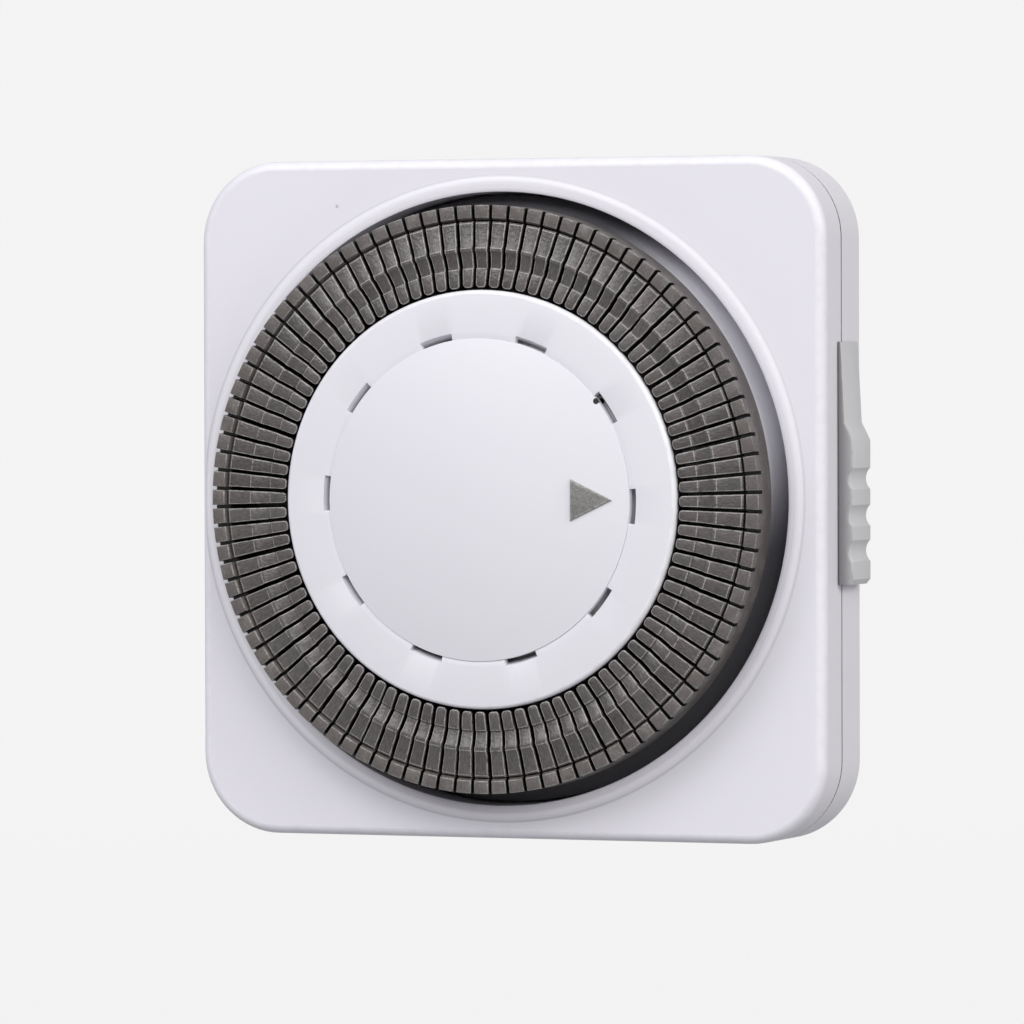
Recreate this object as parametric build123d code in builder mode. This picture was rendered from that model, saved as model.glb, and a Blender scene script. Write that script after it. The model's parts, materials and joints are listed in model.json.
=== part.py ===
from build123d import *
import math
import os

# Water heater timer: a square wall case with a 24 hour dial of push-in tappets, a slide
# selector on its right side, and a synchronous movement in a pod that goes into a round
# wall box. Millimetres. Z is up, the front faces -Y, and the origin is where the dial's
# axis meets the wall. Heights are measured from the wall towards the front.

# Case
case_width = 78.9
case_height = 80.0
case_shift = 1.0            # the case's middle lies this far to the right of the dial's axis
case_corner = 9.6
rear_depth = 7.0
front_depth = 6.0
wall = 2.0
face_thickness = 2.0
front_bevel = 0.7
rear_bevel = 0.6
seam_chamfer = 0.25
tongue_thickness = 0.85
tongue_depth = 1.4
tongue_gap = 0.15
overlap = 0.5               # how far solids that are joined reach into each other

# Dial opening in the front
opening_radius = 36.05
lip_rise = 0.5
lip_land = 1.1              # from the opening's edge to the lip's crest
lip_slope = 1.1             # from the crest out to the face
lip_edge_drop = 0.2         # the opening's edge below the crest
lip_belly = (0.5, 0.15)     # middle of the lip's outer curve: across from the crest, and below it
bore_wall = 1.3
bore_wall_depth = 4.4       # below the face

# Snap hooks between front shell and wall frame
hook_spacing = 28.0
hook_width = 6.0
hook_thickness = 1.2
hook_reach = 4.0            # below the parting line
barb = 0.8
barb_height = 1.2
ledge_depth = 1.2
ledge_margin = 1.0
ledge_thickness = 1.0
snap_gap = 0.15

# Wall fixing
box_screw_pitch = 60.0
box_screw_hole = 4.0
box_slot_length = 6.0
screw_head_room = 6.5
notch_margin = 1.4

# Pod and movement case
pod_radius = 28.0
pod_flat = 25.5
pod_depth = 24.0
pod_wall = 1.8
pod_clearance = 0.3
step_height = -8.0          # below this the pod is shallower and the terminals stand behind it
step_depth = 12.0
flange_side_gap = 1.45      # between the flange and the frame's side walls
flange_end_gap = 3.0        # and its top and bottom walls, where the snap hooks are
flange_corner = 4.0
flange_thickness = 1.6
flange_lift = 2.3
case_screw_inset = (5.0, 3.5)  # from the flange's edges
case_boss_radius = 3.2
case_screw_radius = 1.4
case_screw_length = 7.0
case_screw_sink = 0.2       # its head lies in the gap behind the flange
case_screw_head_radius = 2.4
boss_floor = 0.5
screw_hole_gap = 0.2        # between a screw's shank and its clearance hole

# Movement plate
plate_thickness = 1.2
plate_gap = 0.3
plate_boss_radius = 3.2
plate_boss_height = 8.0
plate_screw_radius = 1.2
plate_screw_length = 6.0
plate_boss_floor = 1.0
pan_head_factor = 1.9       # a pan head's radius over its shank's
side_boss_inset = 2.5       # a boss's middle from the pod's flat wall
side_boss_z = (8.0, -6.0)   # left and right
low_boss_inset = 2.87       # from the pod's round wall

# Dial wheel, radii and heights
tappet_count = 96
hours = 24
ring_radius = 34.42
rim_thickness = 1.79
ring_rise = 5.3             # tappets' front plane above the lip
rim_height = 4.4            # visible height of the rim's wall
merlon_height = 1.3
slit = 0.33                 # gap between neighbouring tappets
skirt_inset = 0.37
skirt_thickness = 1.15
skirt_end = 8.0
skirt_foot_gap = 0.3        # between the skirt's foot and the opening's bore
skirt_foot_thickness = 0.8
web_thickness = 1.5
slot_margin = 0.4           # ring of the web that the slots are cut in, past their ends
inner_wall_radius = 24.1
inner_wall_thickness = 1.1
hub_radius = 5.2
hub_end = 4.85
hub_rise = 3.2              # hub's front above the web's front
gear_tube_thickness = 1.5
dial_phase = -2.1           # degrees, the first slot of the dial face from three o'clock

# Tappets
head_inner_radius = 24.78
rim_gap = 0.13              # between a tappet's head and the rim
ridge_radius = 29.53
ridge_rise = 0.3
valley_radius = 27.19
outer_drop = 0.1
finger_rise = 0.6
finger_rounding = 0.5
head_thickness = 3.0
stem_inset = 1.62           # from the head's inner end
stem_length = 4.5
stem_width = 0.8
stem_gap = 0.125
foot_overlap = 0.4
foot_thickness = 0.9
foot_gap = 0.2
tappet_travel = 2.2
web_gap = 0.4               # between the web and a pushed-in head

# Dial face and fixed pointer
face_radius = 24.5
face_ring_thickness = 0.9
face_edge_bevel = 0.25
cap_edge_bevel = 0.15
face_seat = 0.2             # the inner wall's end below the tappets' front plane
collar_depth = 1.6
collar_thickness = 0.7
collar_gap = 0.1
face_slots = 10
face_slot_length = 4.0
face_slot_depth = 0.85
cap_radius = 18.75
cap_gap = 0.15
cap_thickness = 1.05
cap_rise = 0.3
cap_boss_radius = 4.4
cap_boss_depth = 1.25
arrow_tip = 16.8
arrow_base = 11.5
arrow_half_width = 2.5
arrow_recess = 0.4
arrow_rise = 0.3
arrow_bevel = 0.25
arrow_gap = 0.05

# Post
post_radius = 3.0
spigot_radius = 2.2
post_flange_radius = 5.5
post_flange_thickness = 0.8
hub_clearance = 0.06
clip_groove_width = 0.6
clip_groove = 0.6
clip_radius = 4.6
clip_mouth = 3.0
clip_gap = 0.2              # between the hub and the clip
clip_play = 0.05
post_flat = 2.4
flat_start = 0.3            # above the clip's groove
post_end_gap = 0.15         # the post's end stands this far into the cap
cap_fit = 0.02

# Gears
dial_teeth = 72
idler_pinion_teeth = 12
dial_module = 0.5
idler_teeth = 36
motor_teeth = 10
motor_module = 0.4
tooth_backlash = 0.09
tooth_addendum = 0.9        # over the module
pressure_angle = 20.0
gear_clearance = 0.25
dial_gear_width = 2.3
dial_gear_start = 5.9
idler_wheel_start = 4.2
idler_wheel_thickness = 1.2
idler_angle = 60.0
gear_pin_radius = 0.8
gear_bore_clearance = 0.05
gear_pin_end = 0.6          # past the dial gear
motor_shaft_radius = 0.8
motor_shaft_depth = 2.0     # into the motor
motor_shaft_gap = 0.05
motor_pinion_end = 0.2      # past the idler's wheel

# Motor
motor_radius = 14.0
motor_height = 13.5
motor_ear_reach = 17.0
motor_ear_angle = 150.0
motor_ear_radius = 2.4
motor_ear_thickness = 0.8
motor_screw_radius = 1.1
motor_screw_length = 2.8

# Trip lever and contacts
lever_pivot_z = -10.0
lever_pivot_height = 5.2
lever_pin_radius = 0.6
lever_hub_radius = 1.2
lever_width = 4.4
lever_arm = 1.4             # its thickness
lever_arm_drop = 0.9        # its back below the pivot
lever_arm_length = 9.8      # of its broad part
lever_lift = 2.4            # how far its end rises to the nose's foot
ear_gap = 0.3
ear_thickness = 1.2
ear_margin = 1.4            # plate round the lever's pin
lever_cut_start = 2.6       # below the pivot
lever_cut_gap = 0.8
nose_radius = 28.65
nose_width = 1.2
nose_bevel = 0.5
nose_gap = 0.3
pip_z = -21.0
pip_width = 1.6
pip_gap = 0.25              # above the blade
blade_root_z = -11.0
blade_height = 0.5
blade_thickness = 0.3
blade_width = 5.0
blade_start = 0.3           # from the root's bend line
blade_end = 2.0             # past the rivet
rivet_z = -23.0
rivet_radius = 1.6
rivet_height = 0.8
contact_gap = 1.8
fixed_rivet_height = 0.43
strip_thickness = 0.55
strip_gap = 0.1             # between the blade and its bracket
pedestal_root = (-6.4, -10.9)
pedestal_root_width = 11.0
pedestal_fixed = (-18.2, -24.2)
pedestal_fixed_width = 6.0
bracket_strip = (10.4, 4.7)
fixed_strip = (8.6, 6.6)
leg_size = (3.0, 0.6)
leg_slot = (3.6, 1.2)
root_leg_z = -11.2
fixed_leg_z = -17.8

# Terminals
terminal_pitch = 9.6
terminal_size = 7.0
terminal_length = 9.0
terminal_room = 0.2
wire_hole_radius = 1.8
clamp_screw_radius = 1.6
clamp_head_radius = 2.6
clamp_head_height = 1.6
clamp_head_gap = 0.3
screw_slot = 0.8
screw_reach = 0.3           # into the wire's hole
block_height = 11.4
block_gap = 0.2             # below the step
block_floor = 0.3           # plastic below the clamps
block_depth = 11.6
block_margin = 5.0
clamp_cover = 2.0           # plastic in front of the clamps

# Slide selector on the right side
slide_travel = 5.5
slide_middle = 5.35         # height of its middle line above the wall
slide_width = 6.5
slide_gap = 0.1
slot_gap = 0.2              # past each end of the stem's travel
slide_top = 18.3
slide_shoulder = 8.9
slide_pad_top = 7.7
slide_bottom = -9.9
tongue_start = 0.35
tongue_end = 0.85
pad_proud = 1.9
pad_toe = (0.5, 0.6)        # bevel at its lower end
pad_heel = (0.4, 0.9)       # and at its upper end
grip_depth = 0.5
grip_places = (2.4, -1.9, -6.0)
grip_radius = 1.7
stem_top = 9.0
stem_bottom = -1.0
stem_thickness = 2.0
bar_thickness = 2.7
bar_reach = 5.0
bridge_thickness = 0.6
bridge_length = 4.0
bridge_gap = 0.2
override_size = (1.2, 1.6)
override_spacing = 2.8

# Levels above the wall
face_level = rear_depth + front_depth
lip_level = face_level + lip_rise
ring_level = lip_level + ring_rise
head_back = ring_level - head_thickness
web_front = head_back - tappet_travel - web_gap
web_back = web_front - web_thickness
flange_front = flange_lift + flange_thickness
flange_width = case_width - 2 * (wall + flange_side_gap)
flange_height = case_height - 2 * (wall + flange_end_gap)
case_screw_x = flange_width / 2 - case_screw_inset[0]
case_screw_z = flange_height / 2 - case_screw_inset[1]
plate_back = flange_front - plate_thickness
rim_back = ring_level - rim_height
merlon_back = ring_level - merlon_height
wall_front = ring_level - face_seat
dial_face_front = wall_front + face_ring_thickness
cap_front = dial_face_front + cap_rise
cap_back = cap_front - cap_thickness
foot_front = web_back - foot_gap
foot_back = foot_front - foot_thickness
dial_gear_end = dial_gear_start + dial_gear_width
nose_level = foot_back - nose_gap
right_side = case_shift + case_width / 2
right_inside = right_side - wall
seam_level = rear_depth
hook_end = seam_level - hook_reach
hub_front = web_front + hub_rise
clip_back = hub_front + clip_gap
blade_back = blade_height - blade_thickness / 2
root_strip_front = blade_back - strip_gap
fixed_strip_front = blade_back - rivet_height - contact_gap - fixed_rivet_height
stem_middle = (stem_top + stem_bottom) / 2
stem_slot_z = stem_middle + slide_travel / 2
stem_slot_length = stem_top - stem_bottom + slide_travel + 2 * slot_gap

# Radii, places and angles that follow
rim_inner_radius = ring_radius - rim_thickness
head_outer_radius = rim_inner_radius - rim_gap
skirt_radius = ring_radius - skirt_inset
skirt_foot_radius = opening_radius - skirt_foot_gap
stem_inner_radius = head_inner_radius + stem_inset
stem_outer_radius = stem_inner_radius + stem_length
slot_inner_radius = stem_inner_radius - stem_gap
slot_outer_radius = stem_outer_radius + stem_gap
slot_middle_radius = (slot_inner_radius + slot_outer_radius) / 2
stem_middle_radius = (stem_inner_radius + stem_outer_radius) / 2
gear_tube_outer_radius = dial_module * (dial_teeth / 2 - 1 - gear_clearance)
gear_tube_inner_radius = gear_tube_outer_radius - gear_tube_thickness
collar_radius = inner_wall_radius - inner_wall_thickness - collar_gap
bore_outer_radius = opening_radius + bore_wall
pitch_angle = 360.0 / tappet_count
per_hour = tappet_count // hours
idler_distance = dial_module * (dial_teeth + idler_pinion_teeth) / 2
motor_distance = idler_distance - motor_module * (idler_teeth + motor_teeth) / 2
idler_x = idler_distance * math.cos(math.radians(idler_angle))
idler_z = idler_distance * math.sin(math.radians(idler_angle))
motor_x = motor_distance * math.cos(math.radians(idler_angle))
motor_z = motor_distance * math.sin(math.radians(idler_angle))
ear_inner = lever_width / 2 + ear_gap
side_boss_x = pod_flat - pod_wall - side_boss_inset
low_boss_x = (pod_radius - pod_wall - low_boss_inset) / math.sqrt(2)
plate_screw_places = (
    (-side_boss_x, side_boss_z[0]),
    (-low_boss_x, -low_boss_x),
    (low_boss_x, -low_boss_x),
    (side_boss_x, side_boss_z[1]),
)
cut_length = 3 * pod_depth  # longer than anything that is cut right through

# A half section holds radius across and height above the wall upwards. A side view holds
# Z across and the height above the wall upwards.
half_section = Plane(origin=(0, 0, 0), x_dir=(1, 0, 0), z_dir=(0, 0, -1))
side_view = Plane(origin=(0, 0, 0), x_dir=(0, 0, 1), z_dir=(1, 0, 0))
dial_axis = Axis((0, 0, 0), (0, -1, 0))


def level(height):
    """A plane parallel to the wall, seen from the front."""
    return Plane.XZ.offset(height)


def case_outline(inset, mode=Mode.ADD):
    """The case's rounded square, drawn in by an inset."""
    size = (case_width - 2 * inset, case_height - 2 * inset)
    with Locations((case_shift, 0)):
        RectangleRounded(*size, case_corner - inset, mode=mode)


def pod_outline(inset):
    """The pod's circle with its two side flats, drawn in by an inset."""
    Circle(pod_radius - inset)
    Rectangle(2 * (pod_flat - inset), 3 * pod_radius, mode=Mode.INTERSECT)


def involute(angle):
    return math.tan(angle) - angle


def gear_points(teeth, module, phase, center):
    """A spur gear's outline: involute flanks, with the middle of one tooth at the phase angle."""
    pitch_radius = module * teeth / 2
    base_radius = pitch_radius * math.cos(math.radians(pressure_angle))
    root_radius = pitch_radius - (1 + gear_clearance) * module
    tip_radius = pitch_radius + tooth_addendum * module
    half_tooth = (math.pi * module / 2 - tooth_backlash) / 2 / pitch_radius
    half_tooth += involute(math.radians(pressure_angle))
    flank = [root_radius, pitch_radius, tip_radius]
    points = []
    for tooth in range(teeth):
        middle = math.radians(phase) + 2 * math.pi * tooth / teeth
        for side, radii in ((-1, flank), (1, flank[::-1])):
            for radius in radii:
                lean = math.acos(min(1.0, base_radius / radius))
                angle = middle + side * (half_tooth - involute(lean))
                across = center[0] + radius * math.cos(angle)
                points.append((across, center[1] + radius * math.sin(angle)))
    return points


def write(piece, name):
    """Labels a finished piece and writes its file."""
    piece.part.label = name
    export_step(piece.part, f"parts/{name}.step")


os.makedirs("parts", exist_ok=True)

# Wall frame: the shallow rear shell that is screwed to the wall box
with BuildPart() as wall_frame:
    with BuildSketch(level(0)):
        case_outline(0)
    extrude(amount=rear_depth)
    chamfer(wall_frame.faces().sort_by(Axis.Y)[-1].edges(), length=rear_bevel)
    chamfer(wall_frame.faces().sort_by(Axis.Y)[0].edges(), length=seam_chamfer)
    with BuildSketch(level(wall)):
        case_outline(wall)
    extrude(amount=rear_depth, mode=Mode.SUBTRACT)
    with BuildSketch(level(rear_depth - tongue_depth - tongue_gap)):
        case_outline(wall - tongue_thickness - tongue_gap)
    extrude(amount=rear_depth, mode=Mode.SUBTRACT)
    with BuildSketch(level(0)):
        pod_outline(-pod_clearance)
    extrude(amount=wall, mode=Mode.SUBTRACT)
    with BuildSketch(level(0)):
        with Locations((-box_screw_pitch / 2, 0), (box_screw_pitch / 2, 0)):
            SlotOverall(box_slot_length, box_screw_hole)
    extrude(amount=wall, mode=Mode.SUBTRACT)
    # ledges that the snap hooks catch
    with BuildSketch(level(hook_end + barb_height + snap_gap)):
        for side in (-1, 1):
            ledge_z = side * (case_height / 2 - wall - ledge_depth / 2)
            for place in (-1, 1):
                with Locations((case_shift + place * hook_spacing / 2, ledge_z)):
                    Rectangle(hook_width + 2 * ledge_margin, ledge_depth)
    extrude(amount=ledge_thickness)
    # slot for the selector's stem, open towards the front shell
    with BuildSketch(level(slide_middle - stem_thickness / 2 - slide_gap)):
        with Locations((right_side, stem_slot_z)):
            Rectangle(3 * wall, stem_slot_length)
    extrude(amount=rear_depth, mode=Mode.SUBTRACT)
write(wall_frame, "wall_frame")

# Front shell: face, raised lip round the opening, bore wall, tongue, hooks and screw bosses
with BuildPart() as front_shell:
    with BuildSketch(level(seam_level)):
        case_outline(0)
    extrude(amount=front_depth)
    chamfer(front_shell.faces().sort_by(Axis.Y)[0].edges(), length=front_bevel)
    chamfer(front_shell.faces().sort_by(Axis.Y)[-1].edges(), length=seam_chamfer)
    with BuildSketch(level(seam_level)):
        case_outline(wall)
    extrude(amount=front_depth - face_thickness, mode=Mode.SUBTRACT)
    with BuildSketch(half_section):
        with BuildLine():
            edge = lip_level - lip_edge_drop
            bore_end = face_level - bore_wall_depth
            crest = (opening_radius + lip_land, lip_level)
            belly = (crest[0] + lip_belly[0], lip_level - lip_belly[1])
            foot = (crest[0] + lip_slope, face_level)
            Polyline((opening_radius - overlap, edge), (opening_radius, edge), crest)
            Polyline(
                crest,
                belly,
                foot,
                (foot[0], face_level - overlap),
                (bore_outer_radius, face_level - overlap),
                (bore_outer_radius, bore_end),
                (opening_radius - overlap, bore_end),
                (opening_radius - overlap, edge),
            )
        make_face()
    revolve(axis=Axis.Y)
    # the tongue that locates the front shell inside the frame
    with BuildSketch(level(seam_level - tongue_depth)):
        case_outline(wall - tongue_thickness)
        case_outline(wall, Mode.SUBTRACT)
        with Locations((right_side, stem_slot_z)):
            Rectangle(3 * wall, stem_slot_length, mode=Mode.SUBTRACT)
    extrude(amount=tongue_depth + face_thickness)
    # bosses for the screws that hold the movement case
    with BuildSketch(level(flange_front)):
        with Locations((case_shift, 0)):
            with GridLocations(2 * case_screw_x, 2 * case_screw_z, 2, 2):
                Circle(case_boss_radius)
    extrude(amount=face_level - face_thickness / 2 - flange_front)
    with BuildSketch(level(flange_front)):
        with Locations((case_shift, 0)):
            with GridLocations(2 * case_screw_x, 2 * case_screw_z, 2, 2):
                Circle(case_screw_radius)
    extrude(amount=face_level - face_thickness - boss_floor - flange_front, mode=Mode.SUBTRACT)
    # snap hooks: an arm inside each ledge, with a barb under it
    arm_outer = case_height / 2 - wall - ledge_depth - snap_gap
    for side in (-1, 1):
        for place in (-1, 1):
            hook_x = case_shift + place * hook_spacing / 2
            with BuildSketch(level(hook_end)):
                with Locations((hook_x, side * (arm_outer - hook_thickness / 2))):
                    Rectangle(hook_width, hook_thickness)
            extrude(amount=face_level - face_thickness / 2 - hook_end)
            with BuildSketch(level(hook_end)):
                with Locations((hook_x, side * (arm_outer + barb / 2))):
                    Rectangle(hook_width, barb)
            extrude(amount=barb_height)
    with BuildSketch(level(lip_level)):
        Circle(opening_radius)
    extrude(amount=-cut_length, mode=Mode.SUBTRACT)
write(front_shell, "front_shell")

# Movement case: the pod that goes into the wall box, with the flange that the front shell
# is screwed to, bosses for the movement plate and pedestals for the contacts
with BuildPart() as movement_case:
    with BuildSketch(level(-pod_depth)):
        pod_outline(0)
    extrude(amount=pod_depth + flange_lift)
    with BuildSketch(level(-pod_depth)):
        with Locations((0, step_height - pod_radius)):
            Rectangle(3 * pod_radius, 2 * pod_radius)
    extrude(amount=pod_depth - step_depth, mode=Mode.SUBTRACT)
    with BuildSketch(level(flange_lift)):
        with Locations((case_shift, 0)):
            RectangleRounded(flange_width, flange_height, flange_corner)
        for side in (-1, 1):
            notch_start = box_screw_pitch / 2 - box_screw_hole / 2 - notch_margin
            with Locations((side * (notch_start + flange_width / 4), 0)):
                Rectangle(flange_width / 2, 2 * screw_head_room, mode=Mode.SUBTRACT)
    extrude(amount=flange_thickness)
    # the hollow, deep above the step and shallow below it
    with BuildSketch(level(pod_wall - step_depth)):
        pod_outline(pod_wall)
    extrude(amount=cut_length, mode=Mode.SUBTRACT)
    with BuildSketch(level(pod_wall - pod_depth)):
        pod_outline(pod_wall)
        with Locations((0, step_height + pod_wall + pod_radius)):
            Rectangle(3 * pod_radius, 2 * pod_radius, mode=Mode.INTERSECT)
    extrude(amount=pod_depth, mode=Mode.SUBTRACT)
    with BuildSketch(level(plate_back - plate_boss_height)):
        with Locations(*plate_screw_places):
            Circle(plate_boss_radius)
    extrude(amount=plate_boss_height)
    with BuildSketch(level(plate_back - plate_boss_height + plate_boss_floor)):
        with Locations(*plate_screw_places):
            Circle(plate_screw_radius)
    extrude(amount=plate_boss_height, mode=Mode.SUBTRACT)
    with BuildSketch(level(flange_lift)):
        with Locations((case_shift, 0)):
            with GridLocations(2 * case_screw_x, 2 * case_screw_z, 2, 2):
                Circle(case_screw_radius + screw_hole_gap)
    extrude(amount=flange_thickness, mode=Mode.SUBTRACT)
    step_floor = pod_wall - step_depth
    with BuildSketch(level(step_floor)):
        with Locations((0, (pedestal_root[0] + pedestal_root[1]) / 2)):
            Rectangle(pedestal_root_width, pedestal_root[0] - pedestal_root[1])
    extrude(amount=root_strip_front - strip_thickness - step_floor)
    with BuildSketch(level(step_floor)):
        with Locations((0, (pedestal_fixed[0] + pedestal_fixed[1]) / 2)):
            Rectangle(pedestal_fixed_width, pedestal_fixed[0] - pedestal_fixed[1])
    extrude(amount=fixed_strip_front - strip_thickness - step_floor)
    # slots in the step's floor where the contact strips go down to their terminals
    with BuildSketch(level(-step_depth)):
        with Locations((-terminal_pitch / 2, root_leg_z), (terminal_pitch / 2, fixed_leg_z)):
            Rectangle(*leg_slot)
    extrude(amount=pod_wall, mode=Mode.SUBTRACT)
write(movement_case, "movement_case")

# Movement plate: carries the post, the gear pin, the motor and the trip lever's ears
with BuildPart() as movement_plate:
    with BuildSketch(level(plate_back)):
        pod_outline(pod_wall + plate_gap)
        Circle(spigot_radius, mode=Mode.SUBTRACT)
        with Locations((idler_x, idler_z)):
            Circle(gear_pin_radius, mode=Mode.SUBTRACT)
        with Locations((motor_x, motor_z)):
            Circle(motor_shaft_radius + overlap, mode=Mode.SUBTRACT)
        with Locations(*plate_screw_places):
            Circle(plate_screw_radius + screw_hole_gap, mode=Mode.SUBTRACT)
        with Locations((motor_x, motor_z)):
            with PolarLocations(motor_ear_reach, 2, start_angle=motor_ear_angle):
                Circle(motor_screw_radius, mode=Mode.SUBTRACT)
        with Locations((0, lever_pivot_z - lever_cut_start - pod_radius)):
            Rectangle(lever_width + 2 * lever_cut_gap, 2 * pod_radius, mode=Mode.SUBTRACT)
    extrude(amount=plate_thickness)
    for ear_start in (-ear_inner - ear_thickness, ear_inner):
        with BuildSketch(side_view.offset(ear_start)):
            ear_height = lever_pivot_height + ear_margin - plate_back - plate_thickness / 2
            with Locations((lever_pivot_z, lever_pivot_height + ear_margin - ear_height / 2)):
                Rectangle(2 * ear_margin, ear_height)
            with Locations((lever_pivot_z, lever_pivot_height)):
                Circle(lever_pin_radius, mode=Mode.SUBTRACT)
        extrude(amount=ear_thickness)
write(movement_plate, "movement_plate")

# Dial post: fixed in the plate, with a flat at its end that keeps the pointer cap still
post_top = cap_back + post_end_gap
with BuildPart() as dial_post:
    with BuildSketch(half_section):
        with BuildLine():
            Polyline(
                (0, plate_back),
                (spigot_radius, plate_back),
                (spigot_radius, flange_front),
                (post_flange_radius, flange_front),
                (post_flange_radius, flange_front + post_flange_thickness),
                (post_radius, flange_front + post_flange_thickness),
                (post_radius, clip_back),
                (post_radius - clip_groove, clip_back),
                (post_radius - clip_groove, clip_back + clip_groove_width),
                (post_radius, clip_back + clip_groove_width),
                (post_radius, post_top),
                (0, post_top),
                close=True,
            )
        make_face()
    revolve(axis=Axis.Y)
    with BuildSketch(level(clip_back + clip_groove_width + flat_start)):
        with Locations((0, post_flat + post_radius)):
            Rectangle(4 * post_radius, 2 * post_radius)
    extrude(amount=cut_length, mode=Mode.SUBTRACT)
write(dial_post, "dial_post")

# Retaining clip in the post's groove
with BuildPart() as retaining_clip:
    with BuildSketch(level(clip_back)):
        Circle(clip_radius)
        Circle(post_radius - clip_groove + clip_play, mode=Mode.SUBTRACT)
        with Locations((0, -clip_radius)):
            Rectangle(clip_mouth, 2 * clip_radius, mode=Mode.SUBTRACT)
    extrude(amount=clip_groove_width - clip_play)
write(retaining_clip, "retaining_clip")

# Dial wheel: hub, gear, slotted web, inner wall for the dial face, rim with its skirt and
# one merlon for each tappet
with BuildPart() as dial_wheel:
    with BuildSketch(half_section):
        with BuildLine():
            Polyline(
                (post_radius + hub_clearance, hub_end),
                (hub_radius, hub_end),
                (hub_radius, web_back),
                (slot_inner_radius - slot_margin, web_back),
                (slot_inner_radius - slot_margin, web_front),
                (inner_wall_radius, web_front),
                (inner_wall_radius, wall_front),
                (inner_wall_radius - inner_wall_thickness, wall_front),
                (inner_wall_radius - inner_wall_thickness, web_front),
                (hub_radius, web_front),
                (hub_radius, hub_front),
                (post_radius + hub_clearance, hub_front),
                close=True,
            )
        make_face()
    revolve(axis=Axis.Y)
    with BuildSketch(half_section):
        with BuildLine():
            Polyline(
                (slot_outer_radius + slot_margin, web_back),
                (skirt_radius - skirt_thickness, web_back),
                (skirt_radius - skirt_thickness, skirt_end),
                (skirt_foot_radius, skirt_end),
                (skirt_foot_radius, skirt_end + skirt_foot_thickness),
                (skirt_radius, skirt_end + skirt_foot_thickness),
                (skirt_radius, rim_back),
                (ring_radius, rim_back),
                (ring_radius, merlon_back),
                (rim_inner_radius, merlon_back),
                (rim_inner_radius, web_front),
                (slot_outer_radius + slot_margin, web_front),
                close=True,
            )
        make_face()
    revolve(axis=Axis.Y)
    with BuildSketch(level(web_back)):
        Circle(slot_outer_radius + slot_margin)
        Circle(slot_inner_radius - slot_margin, mode=Mode.SUBTRACT)
        with PolarLocations(slot_middle_radius, tappet_count, dial_phase + pitch_angle / 2):
            slot_size = (slot_outer_radius - slot_inner_radius, stem_width + 2 * stem_gap)
            Rectangle(*slot_size, mode=Mode.SUBTRACT)
    extrude(amount=web_thickness)
    with BuildSketch(level(merlon_back)):
        Circle(ring_radius)
        Circle(rim_inner_radius, mode=Mode.SUBTRACT)
        with PolarLocations((rim_inner_radius + ring_radius) / 2, tappet_count, dial_phase):
            Rectangle(2 * rim_thickness, slit, mode=Mode.SUBTRACT)
    extrude(amount=merlon_height)
    with BuildSketch(level(dial_gear_start)):
        with BuildLine():
            Polyline(*gear_points(dial_teeth, dial_module, idler_angle, (0, 0)), close=True)
        make_face()
        Circle(gear_tube_inner_radius, mode=Mode.SUBTRACT)
    extrude(amount=web_back + overlap - dial_gear_start)
write(dial_wheel, "dial_wheel")

# Dial face: the white ring snapped over the wheel's inner wall, notched ten times
with BuildPart() as dial_face:
    with BuildSketch(level(wall_front)):
        Circle(face_radius)
        Circle(cap_radius + cap_gap, mode=Mode.SUBTRACT)
        with PolarLocations(cap_radius + cap_gap, face_slots, dial_phase):
            Rectangle(2 * face_slot_depth, face_slot_length, mode=Mode.SUBTRACT)
    extrude(amount=face_ring_thickness)
    outer_edge = dial_face.faces().sort_by(Axis.Y)[0].edges().filter_by(GeomType.CIRCLE)
    chamfer(outer_edge.sort_by(SortBy.RADIUS)[-1], length=face_edge_bevel)
    with BuildSketch(level(wall_front - collar_depth)):
        Circle(collar_radius)
        Circle(collar_radius - collar_thickness, mode=Mode.SUBTRACT)
    extrude(amount=collar_depth + face_ring_thickness / 2)
write(dial_face, "dial_face")

# Pointer cap: fixed on the post inside the dial face, with a recess for the arrow
arrow_points = (
    (arrow_tip, 0),
    (arrow_base, arrow_half_width),
    (arrow_base, -arrow_half_width),
)
with BuildPart() as pointer_cap:
    with BuildSketch(level(cap_back)):
        Circle(cap_radius)
    extrude(amount=cap_thickness)
    chamfer(pointer_cap.faces().sort_by(Axis.Y)[0].edges(), length=cap_edge_bevel)
    with BuildSketch(level(cap_back - cap_boss_depth)):
        Circle(cap_boss_radius)
    extrude(amount=cap_boss_depth)
    with BuildSketch(level(cap_back - cap_boss_depth)):
        Circle(post_radius + cap_fit)
        with Locations((0, post_flat + cap_fit + post_radius)):
            Rectangle(4 * post_radius, 2 * post_radius, mode=Mode.SUBTRACT)
    extrude(amount=cap_boss_depth + post_end_gap + cap_fit, mode=Mode.SUBTRACT)
    with BuildSketch(level(cap_front - arrow_recess)):
        with BuildLine():
            Polyline(*arrow_points, close=True)
        make_face()
    extrude(amount=2 * arrow_recess, mode=Mode.SUBTRACT)
write(pointer_cap, "pointer_cap")

# Arrow: a grey wedge glued in the cap's recess, with bevelled sides
with BuildPart() as pointer_arrow:
    with BuildSketch(level(cap_front - arrow_recess)):
        with BuildLine():
            Polyline(*arrow_points, close=True)
        make_face()
        offset(amount=-arrow_gap, kind=Kind.INTERSECTION, mode=Mode.REPLACE)
    extrude(amount=arrow_recess + arrow_rise)
    chamfer(pointer_arrow.faces().sort_by(Axis.Y)[0].edges(), length=arrow_bevel)
write(pointer_arrow, "pointer_arrow")


def half_pitch(radius):
    """Half the width of a tappet's head at a radius."""
    return (2 * math.pi * radius / tappet_count - slit) / 2


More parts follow.
